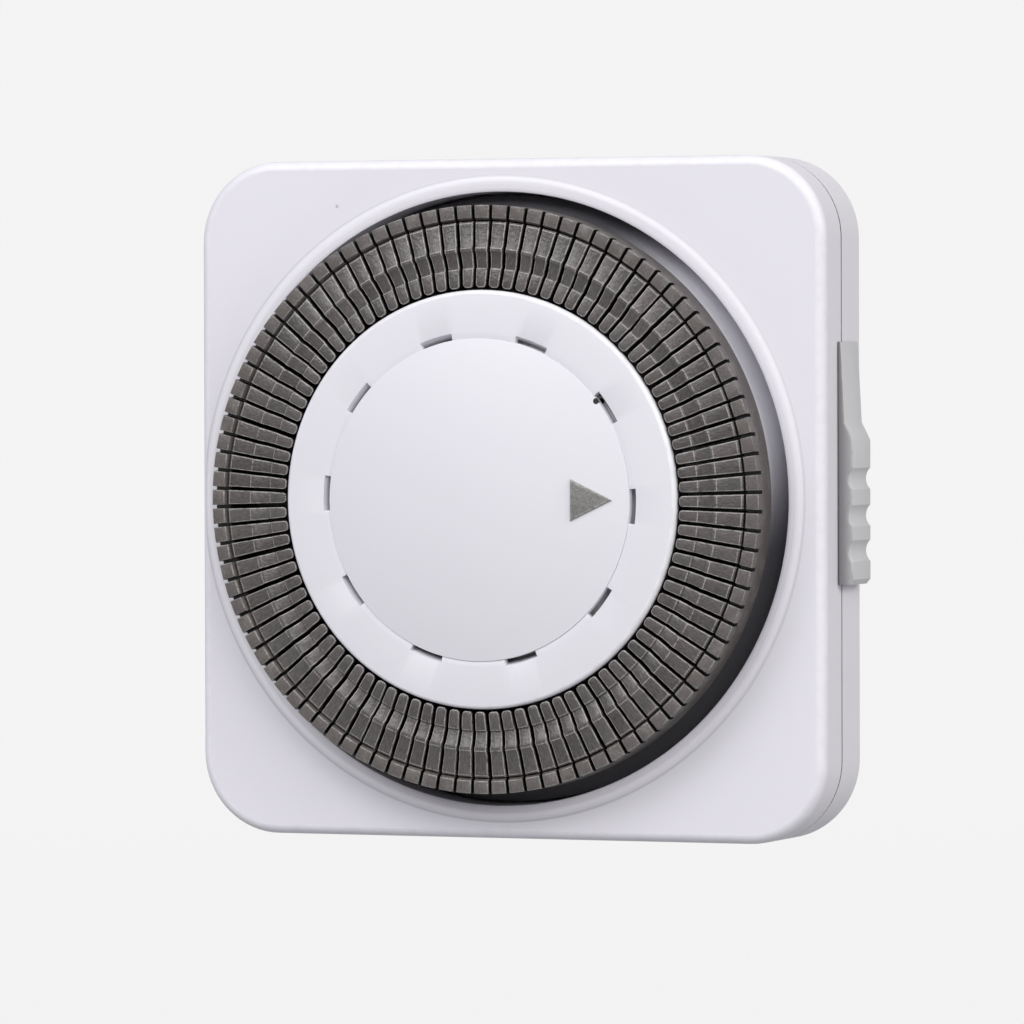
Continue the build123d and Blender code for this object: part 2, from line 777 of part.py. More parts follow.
# One tappet, pointing to three o'clock: a wedge-shaped head with its stepped top, a stem
# that runs in the web's slot, and a foot that keeps it there and presses the trip lever
with BuildPart() as tappet:
    with BuildSketch(half_section):
        with BuildLine():
            Polyline(
                (head_inner_radius, head_back),
                (head_outer_radius, head_back),
                (head_outer_radius, ring_level - outer_drop),
                (ridge_radius, ring_level + ridge_rise),
                (valley_radius, ring_level),
                (head_inner_radius + finger_rounding, ring_level + finger_rise),
                (head_inner_radius, ring_level + finger_rise - finger_rounding),
                close=True,
            )
        make_face()
    extrude(amount=2 * stem_width, both=True)
    with BuildSketch(level(head_back)):
        with BuildLine():
            Polyline(
                (head_inner_radius, -half_pitch(head_inner_radius)),
                (head_outer_radius, -half_pitch(head_outer_radius)),
                (head_outer_radius, half_pitch(head_outer_radius)),
                (head_inner_radius, half_pitch(head_inner_radius)),
                close=True,
            )
        make_face()
    extrude(amount=2 * head_thickness, mode=Mode.INTERSECT)
    with BuildSketch(level(foot_front)):
        with Locations((stem_middle_radius, 0)):
            Rectangle(stem_outer_radius - stem_inner_radius, stem_width)
    extrude(amount=head_back - foot_front)
    with BuildSketch(level(foot_back)):
        with Locations((stem_middle_radius, 0)):
            Rectangle(stem_outer_radius - stem_inner_radius + 2 * foot_overlap, stem_width)
    extrude(amount=foot_thickness)

# Tappets: four to the hour, twenty-four hours counted anticlockwise from the first slot
for hour in range(hours):
    with BuildPart() as hour_tappets:
        for quarter in range(per_hour):
            turn = dial_phase + (hour * per_hour + quarter + 0.5) * pitch_angle
            add(tappet.part.rotate(dial_axis, turn))
    write(hour_tappets, f"tappets_hour_{hour:02d}")

# Gear pin, standing in the movement plate
with BuildPart() as gear_pin:
    with BuildSketch(level(plate_back)):
        with Locations((idler_x, idler_z)):
            Circle(gear_pin_radius)
    extrude(amount=dial_gear_end + gear_pin_end - plate_back)
write(gear_pin, "gear_pin")

# Idler gear: its pinion drives the dial wheel, its wheel is driven by the motor
idler_place = (idler_x, idler_z)
idler_wheel_phase = idler_angle + 180.0
idler_pinion_phase = idler_wheel_phase + 180.0 / idler_pinion_teeth
with BuildPart() as idler_gear:
    with BuildSketch(level(idler_wheel_start)):
        with BuildLine():
            wheel_points = gear_points(idler_teeth, motor_module, idler_wheel_phase, idler_place)
            Polyline(*wheel_points, close=True)
        make_face()
    extrude(amount=idler_wheel_thickness)
    with BuildSketch(level(idler_wheel_start + idler_wheel_thickness)):
        with BuildLine():
            pinion_points = gear_points(idler_pinion_teeth, dial_module, idler_pinion_phase, idler_place)
            Polyline(*pinion_points, close=True)
        make_face()
    extrude(amount=dial_gear_end - idler_wheel_start - idler_wheel_thickness)
    with BuildSketch(level(idler_wheel_start)):
        with Locations((idler_x, idler_z)):
            Circle(gear_pin_radius + gear_bore_clearance)
    extrude(amount=cut_length, mode=Mode.SUBTRACT)
write(idler_gear, "idler_gear")

# Motor output: shaft and pinion in one turned piece
motor_phase = idler_angle + 180.0 / motor_teeth
shaft_end = plate_back - motor_shaft_depth
with BuildPart() as motor_pinion:
    with BuildSketch(level(idler_wheel_start)):
        with BuildLine():
            output_points = gear_points(motor_teeth, motor_module, motor_phase, (motor_x, motor_z))
            Polyline(*output_points, close=True)
        make_face()
    extrude(amount=idler_wheel_thickness + motor_pinion_end)
    with BuildSketch(level(shaft_end)):
        with Locations((motor_x, motor_z)):
            Circle(motor_shaft_radius)
    extrude(amount=idler_wheel_start - shaft_end)
write(motor_pinion, "motor_pinion")

# Motor: a drawn steel can with a rolled seam and two ears under the plate
with BuildPart() as motor_can:
    with BuildSketch(level(plate_back - motor_height)):
        with Locations((motor_x, motor_z)):
            Circle(motor_radius)
    extrude(amount=motor_height)
    with BuildSketch(level(plate_back - motor_ear_thickness)):
        with Locations((motor_x, motor_z)):
            SlotCenterToCenter(2 * motor_ear_reach, 2 * motor_ear_radius, rotation=motor_ear_angle)
            with PolarLocations(motor_ear_reach, 2, start_angle=motor_ear_angle):
                Circle(motor_screw_radius, mode=Mode.SUBTRACT)
    extrude(amount=motor_ear_thickness)
    with BuildSketch(level(shaft_end - motor_shaft_gap)):
        with Locations((motor_x, motor_z)):
            Circle(motor_shaft_radius + motor_shaft_gap)
    extrude(amount=cut_length, mode=Mode.SUBTRACT)
write(motor_can, "motor_can")

# Trip lever: rocks on its pin, its nose under the tappets and its pip over the contact blade
nose_z = -nose_radius
with BuildPart() as trip_lever:
    with BuildSketch(side_view):
        with BuildLine():
            arm_end = lever_pivot_z - lever_arm_length
            arm_back = lever_pivot_height - lever_arm_drop
            arm_front = arm_back + lever_arm
            Polyline(
                (lever_pivot_z, arm_back),
                (arm_end, arm_back),
                (nose_z - 2 * nose_bevel, arm_back + lever_lift),
                (nose_z - 2 * nose_bevel, nose_level - nose_bevel),
                (nose_z - nose_bevel, nose_level),
                (nose_z + nose_bevel, nose_level),
                (nose_z + 2 * nose_bevel, nose_level - nose_bevel),
                (nose_z + 2 * nose_bevel, arm_front + lever_lift),
                (arm_end, arm_front),
                (lever_pivot_z, arm_front),
                close=True,
            )
        make_face()
    extrude(amount=nose_width / 2, both=True)
    with BuildSketch(side_view):
        with Locations((lever_pivot_z, lever_pivot_height)):
            Circle(lever_hub_radius)
        with Locations((lever_pivot_z - lever_arm_length / 2, (arm_back + arm_front) / 2)):
            Rectangle(lever_arm_length, lever_arm)
    extrude(amount=lever_width / 2, both=True)
    with BuildSketch(side_view):
        pip_end = blade_back + blade_thickness + pip_gap
        with Locations((pip_z, (pip_end + arm_front) / 2)):
            Rectangle(pip_width, arm_front - pip_end)
    extrude(amount=nose_width / 2, both=True)
    with BuildSketch(side_view):
        with Locations((lever_pivot_z, lever_pivot_height)):
            Circle(lever_pin_radius + gear_bore_clearance)
    extrude(amount=lever_width, both=True, mode=Mode.SUBTRACT)
write(trip_lever, "trip_lever")

# Lever pin, held in the plate's two ears
with BuildPart() as lever_pin:
    with BuildSketch(side_view):
        with Locations((lever_pivot_z, lever_pivot_height)):
            Circle(lever_pin_radius)
    extrude(amount=ear_inner + ear_thickness, both=True)
write(lever_pin, "lever_pin")

# Contact blade with its rivet, pressed down by the lever's pip
with BuildPart() as contact_blade:
    with BuildSketch(level(blade_back)):
        with Locations((0, (blade_root_z - blade_start + rivet_z - blade_end) / 2)):
            Rectangle(blade_width, blade_root_z - blade_start - rivet_z + blade_end)
    extrude(amount=blade_thickness)
write(contact_blade, "contact_blade")
with BuildPart() as moving_contact:
    with BuildSketch(level(blade_back - rivet_height)):
        with Locations((0, rivet_z)):
            Circle(rivet_radius)
    extrude(amount=rivet_height)
write(moving_contact, "moving_contact")

# Contact strips: the blade's bracket and the fixed contact, each with a leg down to its terminal
leg_end = -step_depth - clamp_cover
root_strip_middle = (
    (blade_width - leg_size[0] - terminal_pitch) / 4,
    blade_root_z - blade_start + bracket_strip[1] / 2,
)
with BuildPart() as blade_bracket:
    with BuildSketch(level(root_strip_front - strip_thickness)):
        with Locations(root_strip_middle):
            Rectangle(*bracket_strip)
    extrude(amount=strip_thickness)
    with BuildSketch(level(leg_end)):
        with Locations((-terminal_pitch / 2, root_leg_z)):
            Rectangle(*leg_size)
    extrude(amount=root_strip_front - leg_end)
write(blade_bracket, "blade_bracket")
fixed_strip_middle = (
    terminal_pitch / 2 + leg_size[0] / 2 - fixed_strip[0] / 2,
    fixed_leg_z + leg_size[1] / 2 - fixed_strip[1] / 2,
)
with BuildPart() as fixed_contact:
    with BuildSketch(level(fixed_strip_front - strip_thickness)):
        with Locations(fixed_strip_middle):
            Rectangle(*fixed_strip)
    extrude(amount=strip_thickness)
    with BuildSketch(level(leg_end)):
        with Locations((terminal_pitch / 2, fixed_leg_z)):
            Rectangle(*leg_size)
    extrude(amount=fixed_strip_front - leg_end)
    with BuildSketch(level(fixed_strip_front)):
        with Locations((0, rivet_z)):
            Circle(rivet_radius)
    extrude(amount=fixed_rivet_height)
write(fixed_contact, "fixed_contact")

# Terminal block behind the pod's step, with a clamp and a screw for each wire
block_top = step_height - block_gap
block_bottom = block_top - block_height
block_front = -step_depth
block_back = block_front - block_depth
clamp_z = block_bottom + block_floor + terminal_length / 2
clamp_front = block_front - clamp_cover
clamp_back = clamp_front - terminal_size
room_size = terminal_size + 2 * terminal_room
with BuildPart() as terminal_block:
    with BuildSketch(level(block_back)):
        with Locations((0, (block_top + block_bottom) / 2)):
            Rectangle(3 * terminal_pitch + 2 * block_margin, block_height)
    extrude(amount=block_depth)
    with BuildSketch(level(clamp_back - terminal_room)):
        with Locations((0, clamp_z + terminal_room - block_floor)):
            with GridLocations(terminal_pitch, 1, 4, 1):
                Rectangle(room_size, terminal_length + 2 * block_floor)
    extrude(amount=room_size, mode=Mode.SUBTRACT)
    with BuildSketch(level(block_back)):
        with Locations((0, clamp_z)):
            with GridLocations(terminal_pitch, 1, 4, 1):
                Circle(clamp_head_radius + clamp_head_gap)
    extrude(amount=clamp_back - block_back, mode=Mode.SUBTRACT)
    with BuildSketch(level(clamp_front)):
        with Locations((-terminal_pitch / 2, root_leg_z), (terminal_pitch / 2, fixed_leg_z)):
            Rectangle(*leg_slot)
    extrude(amount=clamp_cover, mode=Mode.SUBTRACT)
write(terminal_block, "terminal_block")
with BuildPart() as terminal_clamps:
    with BuildSketch(level(clamp_back)):
        with Locations((0, clamp_z)):
            with GridLocations(terminal_pitch, 1, 4, 1):
                Rectangle(terminal_size, terminal_length)
    extrude(amount=terminal_size)
    with BuildSketch(Plane.XY.offset(clamp_z)):
        with GridLocations(terminal_pitch, 1, 4, 1):
            with Locations((0, -(clamp_front + clamp_back) / 2)):
                Circle(wire_hole_radius)
    extrude(amount=terminal_length, both=True, mode=Mode.SUBTRACT)
    with BuildSketch(level(clamp_back)):
        with Locations((0, clamp_z)):
            with GridLocations(terminal_pitch, 1, 4, 1):
                Circle(clamp_screw_radius)
    extrude(amount=terminal_size / 2, mode=Mode.SUBTRACT)
write(terminal_clamps, "terminal_clamps")
with BuildPart() as clamp_screws:
    with BuildSketch(level(clamp_back)):
        with Locations((0, clamp_z)):
            with GridLocations(terminal_pitch, 1, 4, 1):
                Circle(clamp_screw_radius)
    extrude(amount=terminal_size / 2 - wire_hole_radius + screw_reach)
    with BuildSketch(level(clamp_back - clamp_head_height)):
        with Locations((0, clamp_z)):
            with GridLocations(terminal_pitch, 1, 4, 1):
                Circle(clamp_head_radius)
    extrude(amount=clamp_head_height)
    with BuildSketch(level(clamp_back - clamp_head_height)):
        with Locations((0, clamp_z)):
            with GridLocations(terminal_pitch, 1, 4, 1):
                Rectangle(3 * clamp_head_radius, screw_slot)
    extrude(amount=clamp_head_height / 2, mode=Mode.SUBTRACT)
write(clamp_screws, "clamp_screws")


def write_pan_screws(name, places, seat, length, radius):
    """Pan head screws: each head stands in front of its seat, each shank goes in behind it."""
    with BuildPart() as screws:
        with BuildSketch(level(seat - length)):
            with Locations(*places):
                Circle(radius)
        extrude(amount=length)
        with BuildSketch(level(seat)):
            with Locations(*places):
                Circle(pan_head_factor * radius)
        extrude(amount=radius)
    write(screws, name)


# Screws
write_pan_screws("plate_screws", plate_screw_places, flange_front, plate_screw_length, plate_screw_radius)
motor_screw_places = [
    (
        motor_x + side * motor_ear_reach * math.cos(math.radians(motor_ear_angle)),
        motor_z + side * motor_ear_reach * math.sin(math.radians(motor_ear_angle)),
    )
    for side in (-1, 1)
]
write_pan_screws("motor_screws", motor_screw_places, flange_front, motor_screw_length, motor_screw_radius)
case_screw_start = flange_lift - case_screw_sink
with BuildPart() as case_screws:
    for radius, length in (
        (case_screw_radius, case_screw_length),
        (case_screw_head_radius, case_screw_sink),
    ):
        with BuildSketch(level(case_screw_start)):
            with Locations((case_shift, 0)):
                with GridLocations(2 * case_screw_x, 2 * case_screw_z, 2, 2):
                    Circle(radius)
        extrude(amount=length)
write(case_screws, "case_screws")

# Slide knob: a thin tongue that rises to a ribbed thumb pad, and a stem through the case
knob_base = right_side + slide_gap
knob_back = slide_middle - slide_width / 2
with BuildPart() as slide_knob:
    with BuildSketch(level(knob_back)):
        with BuildLine():
            Polyline(
                (knob_base, slide_bottom),
                (right_side + pad_proud - pad_toe[0], slide_bottom),
                (right_side + pad_proud, slide_bottom + pad_toe[1]),
                (right_side + pad_proud, slide_pad_top - pad_heel[1]),
                (right_side + pad_proud - pad_heel[0], slide_pad_top),
                (right_side + tongue_end, slide_shoulder),
                (right_side + tongue_start, slide_top),
                (knob_base, slide_top),
                close=True,
            )
        make_face()
        grip_x = right_side + pad_proud + grip_radius - grip_depth
        with Locations(*[(grip_x, z) for z in grip_places]):
            Circle(grip_radius, mode=Mode.SUBTRACT)
    extrude(amount=slide_width)
    with BuildSketch(level(slide_middle - stem_thickness / 2)):
        with Locations(((knob_base + right_inside) / 2, stem_middle)):
            Rectangle(knob_base - right_inside, stem_top - stem_bottom)
    extrude(amount=stem_thickness)
write(slide_knob, "slide_knob")

# Selector bar inside the wall, clipped to the knob's stem, with a bridging contact
bar_outer = right_inside
bar_inner = bar_outer - bar_thickness
with BuildPart() as selector_bar:
    with BuildSketch(level(slide_middle - stem_thickness / 2)):
        with Locations(((bar_outer + bar_inner) / 2, stem_middle)):
            Rectangle(bar_thickness, stem_top - stem_bottom + 2 * bar_reach)
    extrude(amount=stem_thickness)
write(selector_bar, "selector_bar")
bridge_z = stem_top + bar_reach - bridge_length / 2
with BuildPart() as selector_bridge:
    with BuildSketch(level(slide_middle - stem_thickness / 2)):
        with Locations((bar_inner - bridge_thickness / 2, bridge_z)):
            Rectangle(bridge_thickness, bridge_length)
    extrude(amount=stem_thickness)
write(selector_bridge, "selector_bridge")
override_x = bar_inner - bridge_thickness - bridge_gap - override_size[0] / 2
with BuildPart() as override_contacts:
    with BuildSketch(level(flange_front)):
        with Locations((override_x, bridge_z + slide_travel)):
            with GridLocations(1, override_spacing, 1, 2):
                Rectangle(*override_size)
    extrude(amount=slide_middle + stem_thickness / 2 - flange_front)
write(override_contacts, "override_contacts")
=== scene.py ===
import json
import math
import random

import bmesh
import bpy
from mathutils import Matrix, Vector


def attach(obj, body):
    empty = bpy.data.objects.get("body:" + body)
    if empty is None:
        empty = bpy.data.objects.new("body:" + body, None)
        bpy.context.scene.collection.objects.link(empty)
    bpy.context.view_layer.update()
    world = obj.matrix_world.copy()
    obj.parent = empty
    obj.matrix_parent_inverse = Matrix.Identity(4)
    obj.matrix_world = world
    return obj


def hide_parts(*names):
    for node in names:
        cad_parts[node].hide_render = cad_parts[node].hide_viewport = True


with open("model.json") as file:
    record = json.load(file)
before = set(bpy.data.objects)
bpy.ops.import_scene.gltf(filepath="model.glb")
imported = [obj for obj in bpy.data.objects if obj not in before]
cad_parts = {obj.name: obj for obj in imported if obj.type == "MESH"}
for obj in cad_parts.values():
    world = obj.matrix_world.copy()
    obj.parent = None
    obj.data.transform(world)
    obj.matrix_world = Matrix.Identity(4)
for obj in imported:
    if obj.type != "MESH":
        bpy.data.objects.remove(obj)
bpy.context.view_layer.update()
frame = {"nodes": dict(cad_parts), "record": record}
nodes = frame["nodes"]

# The photograph's camera: a long lens 0.83 m away, that looks at the middle of the case's face from
# 22 degrees to the right and from just above. The picture is 1024 pixels wide.
camera_azimuth = math.radians(21.87)
camera_elevation = math.radians(1.0)
camera_roll = math.radians(0.149)
camera_distance = 0.8273
camera_target = Vector((0.001, -0.0132, 0.0))
focal_pixels = 7042.0
shift_right_pixels = 5.02
shift_up_pixels = -13.11
picture_width = 1024.0
film_width = 36.0
sight = Vector((
    math.sin(camera_azimuth) * math.cos(camera_elevation),
    -math.cos(camera_azimuth) * math.cos(camera_elevation),
    math.sin(camera_elevation),
))
camera_right = Vector((0, 0, 1)).cross(sight).normalized()
camera_up = sight.cross(camera_right)
roll = Matrix.Rotation(-camera_roll, 3, sight)
camera_axes = Matrix((roll @ camera_right, roll @ camera_up, sight)).transposed()
camera_data = bpy.data.cameras.new("camera")
camera_data.sensor_width = film_width
camera_data.lens = focal_pixels / picture_width * film_width
camera_data.shift_x = shift_right_pixels / picture_width
camera_data.shift_y = shift_up_pixels / picture_width
camera_data.clip_start = 0.01
camera = bpy.data.objects.new("camera", camera_data)
camera.matrix_world = Matrix.Translation(camera_target + camera_distance * sight) @ camera_axes.to_4x4()
bpy.context.scene.collection.objects.link(camera)
bpy.context.scene.camera = camera
bpy.context.scene.view_settings.view_transform = "Standard"

# The room: a pale floor and backdrop of one tone, on which the object's shadow hardly shows. It is
# lit by a large soft box high up in front on the left, one in front on the right and a weaker one
# at the right side.
backdrop_color = (0.896, 0.904, 0.896, 1.0)
ambient_color = (0.95, 0.95, 1.0, 1.0)
ambient_strength = 0.26
mirrored_share = 0.55
floor_level = -0.075
floor_reach = 4.0
paper_color = (0.4, 0.4, 0.41, 1.0)
shadow_near = 0.15
shadow_end = 0.9
paper_evenness = 0.98


class Wire:
    """A shader value. Sums and products of wires add Math nodes; make adds any other node."""

    def __init__(self, tree, socket=None):
        self.tree = tree
        self.socket = socket

    def make(self, kind, settings=None, inputs=None, output=0):
        node = self.tree.nodes.new(kind)
        for name, value in (settings or {}).items():
            setattr(node, name, value)
        for name, value in (inputs or {}).items():
            if isinstance(value, Wire):
                self.tree.links.new(value.socket, node.inputs[name])
            else:
                node.inputs[name].default_value = value
        return Wire(self.tree, node.outputs[output] if node.outputs else None)

    def math(self, operation, first, second):
        return self.make("ShaderNodeMath", {"operation": operation}, {0: first, 1: second})

    def __add__(self, other):
        return self.math("ADD", self, other)

    def __mul__(self, other):
        return self.math("MULTIPLY", self, other)

    def __sub__(self, other):
        return self.math("SUBTRACT", self, other)

    def __rsub__(self, other):
        return self.math("SUBTRACT", other, self)

    __radd__ = __add__
    __rmul__ = __mul__

    def mix(self, first, second):
        """The first colour where this value is 0, and the second where it is 1."""
        settings = {"data_type": "RGBA", "clamp_factor": True}
        return self.make("ShaderNodeMix", settings, {0: self, 6: first, 7: second}, 2)

    def spread(self, low, high):
        """A smooth rise from 0 to 1 while this value goes from low to high."""
        settings = {"interpolation_type": "SMOOTHSTEP"}
        return self.make("ShaderNodeMapRange", settings, {0: self, 1: low, 2: high}, 0)

    def band(self, rise, fall):
        """1 between a smooth rise and a smooth fall, each given by its start and its end."""
        return self.spread(*rise) * (1.0 - self.spread(*fall))

    def vector(self, operation, other=(0, 0, 0), output="Vector"):
        """This vector and another one, put through a vector sum of the named kind."""
        return self.make("ShaderNodeVectorMath", {"operation": operation}, {0: self, 1: other}, output)

    def length(self):
        return self.vector("LENGTH", output="Value")

    def dot(self, other):
        return self.vector("DOT_PRODUCT", other, "Value")

    def axis(self, name):
        """This vector's part along X, Y or Z."""
        return self.make("ShaderNodeSeparateXYZ", inputs={0: self}, output=name)

    def noise(self, scale, detail):
        """Clouds round a value of 0.5 at this place, the finer the higher the scale."""
        return self.make("ShaderNodeTexNoise", inputs={"Vector": self, "Scale": scale, "Detail": detail})


def looked_at(wire):
    """1 where the camera, a mirror image or clear material shows the room, and 0 where it lights."""
    return (
        wire.make("ShaderNodeLightPath", output="Is Camera Ray")
        + wire.make("ShaderNodeLightPath", output="Is Glossy Ray") * mirrored_share
        + wire.make("ShaderNodeLightPath", output="Is Transmission Ray")
    )


def soft_box(name, place, size, power, color):
    """A square lamp that faces the middle of the case."""
    data = bpy.data.lights.new(name, "AREA")
    data.size = size
    data.energy = power
    data.color = color
    lamp = bpy.data.objects.new(name, data)
    facing = (camera_target - Vector(place)).to_track_quat("-Z", "Y")
    lamp.matrix_world = Matrix.Translation(place) @ facing.to_matrix().to_4x4()
    bpy.context.scene.collection.objects.link(lamp)


world = bpy.data.worlds.new("room")
bpy.context.scene.world = world
world.use_nodes = True
world.node_tree.nodes.clear()
air = Wire(world.node_tree)
ambient = air.make("ShaderNodeBackground", inputs={"Color": ambient_color, "Strength": ambient_strength})
pale = air.make("ShaderNodeBackground", inputs={"Color": backdrop_color, "Strength": 1.0})
shown = air.make("ShaderNodeMixShader", inputs={0: looked_at(air), 1: ambient, 2: pale})
air.make("ShaderNodeOutputWorld", inputs={"Surface": shown})

floor_bm = bmesh.new()
bmesh.ops.create_grid(floor_bm, x_segments=1, y_segments=1, size=floor_reach)
bmesh.ops.translate(floor_bm, vec=(0, 0, floor_level), verts=floor_bm.verts)
floor_mesh = bpy.data.meshes.new("floor")
floor_bm.to_mesh(floor_mesh)
floor_bm.free()
floor = bpy.data.objects.new("floor", floor_mesh)
bpy.context.scene.collection.objects.link(floor)
floor_material = bpy.data.materials.new("floor_paper")
floor_material.use_nodes = True
floor_material.node_tree.nodes.clear()
paper = Wire(floor_material.node_tree)
lit = paper.make("ShaderNodeBsdfDiffuse", inputs={"Color": paper_color})
flat = paper.make("ShaderNodeEmission", inputs={"Color": backdrop_color, "Strength": 1.0})
evenness = paper.make(
    "ShaderNodeMapRange",
    {"interpolation_type": "SMOOTHSTEP"},
    {
        "Value": paper.make("ShaderNodeTexCoord", output="Object").length(),
        "From Min": shadow_near, "From Max": shadow_end, "To Min": paper_evenness, "To Max": 1.0,
    },
    "Result",
)
blend = paper.make("ShaderNodeMixShader", inputs={0: looked_at(paper) * evenness, 1: lit, 2: flat})
paper.make("ShaderNodeOutputMaterial", inputs={"Surface": blend})
floor.data.materials.append(floor_material)

soft_box("key", (-0.57, -1.23, 1.19), size=1.15, power=19.2, color=(1.0, 1.0, 1.0))
soft_box("front_right", (0.95, -1.25, 0.85), size=1.1, power=11.5, color=(1.0, 1.0, 1.0))
soft_box("side", (1.5, -0.4, 0.7), size=0.8, power=9.5, color=(1.0, 1.0, 0.93))

# Front shell: moulded in white plastic with a satin finish. It is a rounded square with a soft lip
# raised round the dial's opening, and a bore wall behind the lip. It snaps onto the wall frame.
mm = 0.001
case_width = 78.9
case_height = 80.0
case_shift = 1.0
case_corner = 9.6
face_height = 13.0
face_thickness = 2.0
front_rounding = 1.15
seam_height = 7.0
seam_gap = 0.11
seam_depth = 0.5
shell_wall = 2.0
opening_radius = 36.05
bore_end = 8.6
bore_outer = 37.35
spokes = 384
lip_height = 0.27
lip_edge = ((0, 0.2), (0.06, 0.07), (0.2, 0.01), (0.5, 0))
lip_fall = (
    (36.95, 0.27), (37.1, 0.285), (37.25, 0.302), (37.38, 0.307), (37.52, 0.29), (37.7, 0.235),
    (37.85, 0.165), (38.0, 0.075), (38.06, 0.055), (38.2, 0.045), (38.5, 0.033), (39.0, 0.02),
    (39.5, 0.007), (40.0, 0.0),
)
lip_land = lip_fall[0][0]
lip_foot = lip_fall[-1][0]
bead_foot = 38.15
bead_share = 0.85
land_run = 0.15
land_drop = 0.005
outline_radius = 60.0
slack = 0.05
touching = 0.01
level_tolerance = 0.001
merge_distance = 0.0005
cloud_scale = 60.0
scuff_scale = 700.0
grain_depth = 0.0002
edge_reach = 0.00025
edge_gain = 5.0
case_white = (0.8, 0.778, 0.84, 1.0)
case_rubbed = (0.86, 0.84, 0.9, 1.0)
gap_shade = (0.03, 0.03, 0.03, 1.0)
gap_shade_share = 0.93
pinprick_x = -20.7
pinprick_z = 34.6
pinprick_radius = 0.22
pinprick_grey = (0.2, 0.19, 0.2, 1.0)
pinprick_share = 0.45
bead_highlight_paint = (0.92, 0.9, 0.96, 1.0)
bead_rise = (36.8, 37.1)
bead_fall = (37.3, 37.65)
crease_shade_paint = (0.56, 0.55, 0.59, 1.0)
crease_rise = (37.7, 37.96)
crease_fall = (38.02, 38.2)
crease_share = 0.7


def object_place(material):
    """Where a shaded point lies on its piece."""
    return Wire(material.node_tree).make("ShaderNodeTexCoord", output="Object")


def off_wall(place):
    """How far a shaded point stands off the wall, in millimetres."""
    return place.axis("Y") * (-1 / mm)


def moulded(name, color, worn_color, roughness, grain, mottle=0.02, bump=0.03, copied=False):
    """A moulded plastic: cloudy colour, fine grain, specks of dust, and rubbed edges painted lighter, which
    on the dark tappets are also a painted highlight.
    """
    material = bpy.data.materials.new(name)
    material.use_nodes = True
    tree = material.node_tree
    shader = tree.nodes["Principled BSDF"]
    shader.inputs["IOR"].default_value = 1.5
    place = object_place(material)
    cloud = place.noise(cloud_scale, 3.0)
    fine = place.noise(grain, 2.0)
    scuff = place.noise(scuff_scale, 4.0)
    darker = tuple(channel * (1 - 2 * mottle) for channel in color[:3]) + (1.0,)
    if copied:
        soft = place.make("ShaderNodeBevel", {"samples": 4}, {"Radius": edge_reach})
        edge_wear_and_highlight = (1.0 - soft.dot(place.make("ShaderNodeNewGeometry", output="Normal"))) * edge_gain
    else:
        edge_wear_and_highlight = place.make("ShaderNodeAttribute", {"attribute_name": "edge_wear_and_highlight"}, output="Fac")
    rubbed = edge_wear_and_highlight.spread(0.0, 1.0) * scuff.spread(0.3, 0.62)
    tint = rubbed.mix(cloud.mix(darker, color), worn_color)
    rough = roughness + (fine - 0.5) * 0.12 + (scuff - 0.5) * 0.1 - rubbed * 0.06
    tree.links.new(tint.socket, shader.inputs["Base Color"])
    tree.links.new(rough.socket, shader.inputs["Roughness"])
    relief = {"Strength": bump, "Distance": grain_depth, "Height": fine}
    if copied:
        relief["Normal"] = soft
    tree.links.new(place.make("ShaderNodeBump", inputs=relief).socket, shader.inputs["Normal"])
    return material


def near(place, x, z, size):
    """1 inside a round spot on the front, at x and z in millimetres."""
    offset = place.vector("SUBTRACT", (x * mm, 0, z * mm)).vector("MULTIPLY", (1, 0, 1))
    return 1.0 - (offset.length() * (1 / mm)).spread(size * 0.8, size)


def painted_on(material, mask, color):
    """Lays a colour over what a material already shows, where the mask is 1."""
    tree = material.node_tree
    target = tree.nodes["Principled BSDF"].inputs["Base Color"]
    before = Wire(tree, target.links[0].from_socket)
    tree.links.new(mask.mix(before, color).socket, target)


def shade_in_gaps(material, color, strength=1.0):
    """Paints shade into a plastic's narrow gaps, where no light gets in."""
    settings = {"attribute_name": "depth"}
    depth = Wire(material.node_tree).make("ShaderNodeAttribute", settings, output="Fac")
    painted_on(material, depth.spread(0.02, 0.35) * strength, color)


case_plastic = moulded("case_plastic", case_white, case_rubbed, roughness=0.45, grain=4200.0, mottle=0.012)
case_place = object_place(case_plastic)
case_reach = case_place.vector("MULTIPLY", (1, 0, 1)).length() * (1 / mm)
at_front = off_wall(case_place).spread(face_height - 0.1, face_height)
pinprick = at_front * near(case_place, pinprick_x, pinprick_z, pinprick_radius)
painted_on(case_plastic, pinprick * pinprick_share, pinprick_grey)
# A lighter band along the lip's crest: a painted highlight.
painted_on(case_plastic, at_front * case_reach.band(bead_rise, bead_fall), bead_highlight_paint)
# A darker ring in the crease at the lip's foot: painted shade.
crease = at_front * case_reach.band(crease_rise, crease_fall) * crease_share
painted_on(case_plastic, crease, crease_shade_paint)
# Painted shade in the groove between the case's two halves.
shade_in_gaps(case_plastic, gap_shade, gap_shade_share)


def marked(bm):
    """Gives a bmesh room for edge wear and painted edge highlights, for tone, and for how deep corners lie.
    """
    bm.faces.layers.float.new("edge_wear_and_highlight")
    bm.faces.layers.float.new("tone")
    bm.loops.layers.float.new("depth")
    return bm


def from_axis(point):
    """A point's distance from the dial's axis."""
    return math.hypot(point.x, point.z)


def at_height(vert, height):
    """Whether a vertex lies in the level at a height off the wall."""
    return abs(vert.co.y + height) < level_tolerance


def spun(bm, chain, closed=True, steps=192):
    """Turns a chain of (radius, height) points round the dial's axis."""
    verts = [bm.verts.new((radius, -height, 0)) for radius, height in chain]
    pairs = list(zip(verts, verts[1:]))
    if closed:
        pairs.append((verts[-1], verts[0]))
    edges = [bm.edges.new(pair) for pair in pairs]
    bmesh.ops.spin(
        bm, geom=verts + edges, cent=(0, 0, 0), axis=(0, -1, 0), dvec=(0, 0, 0),
        angle=math.tau, steps=steps, use_merge=True, use_duplicate=False,
    )


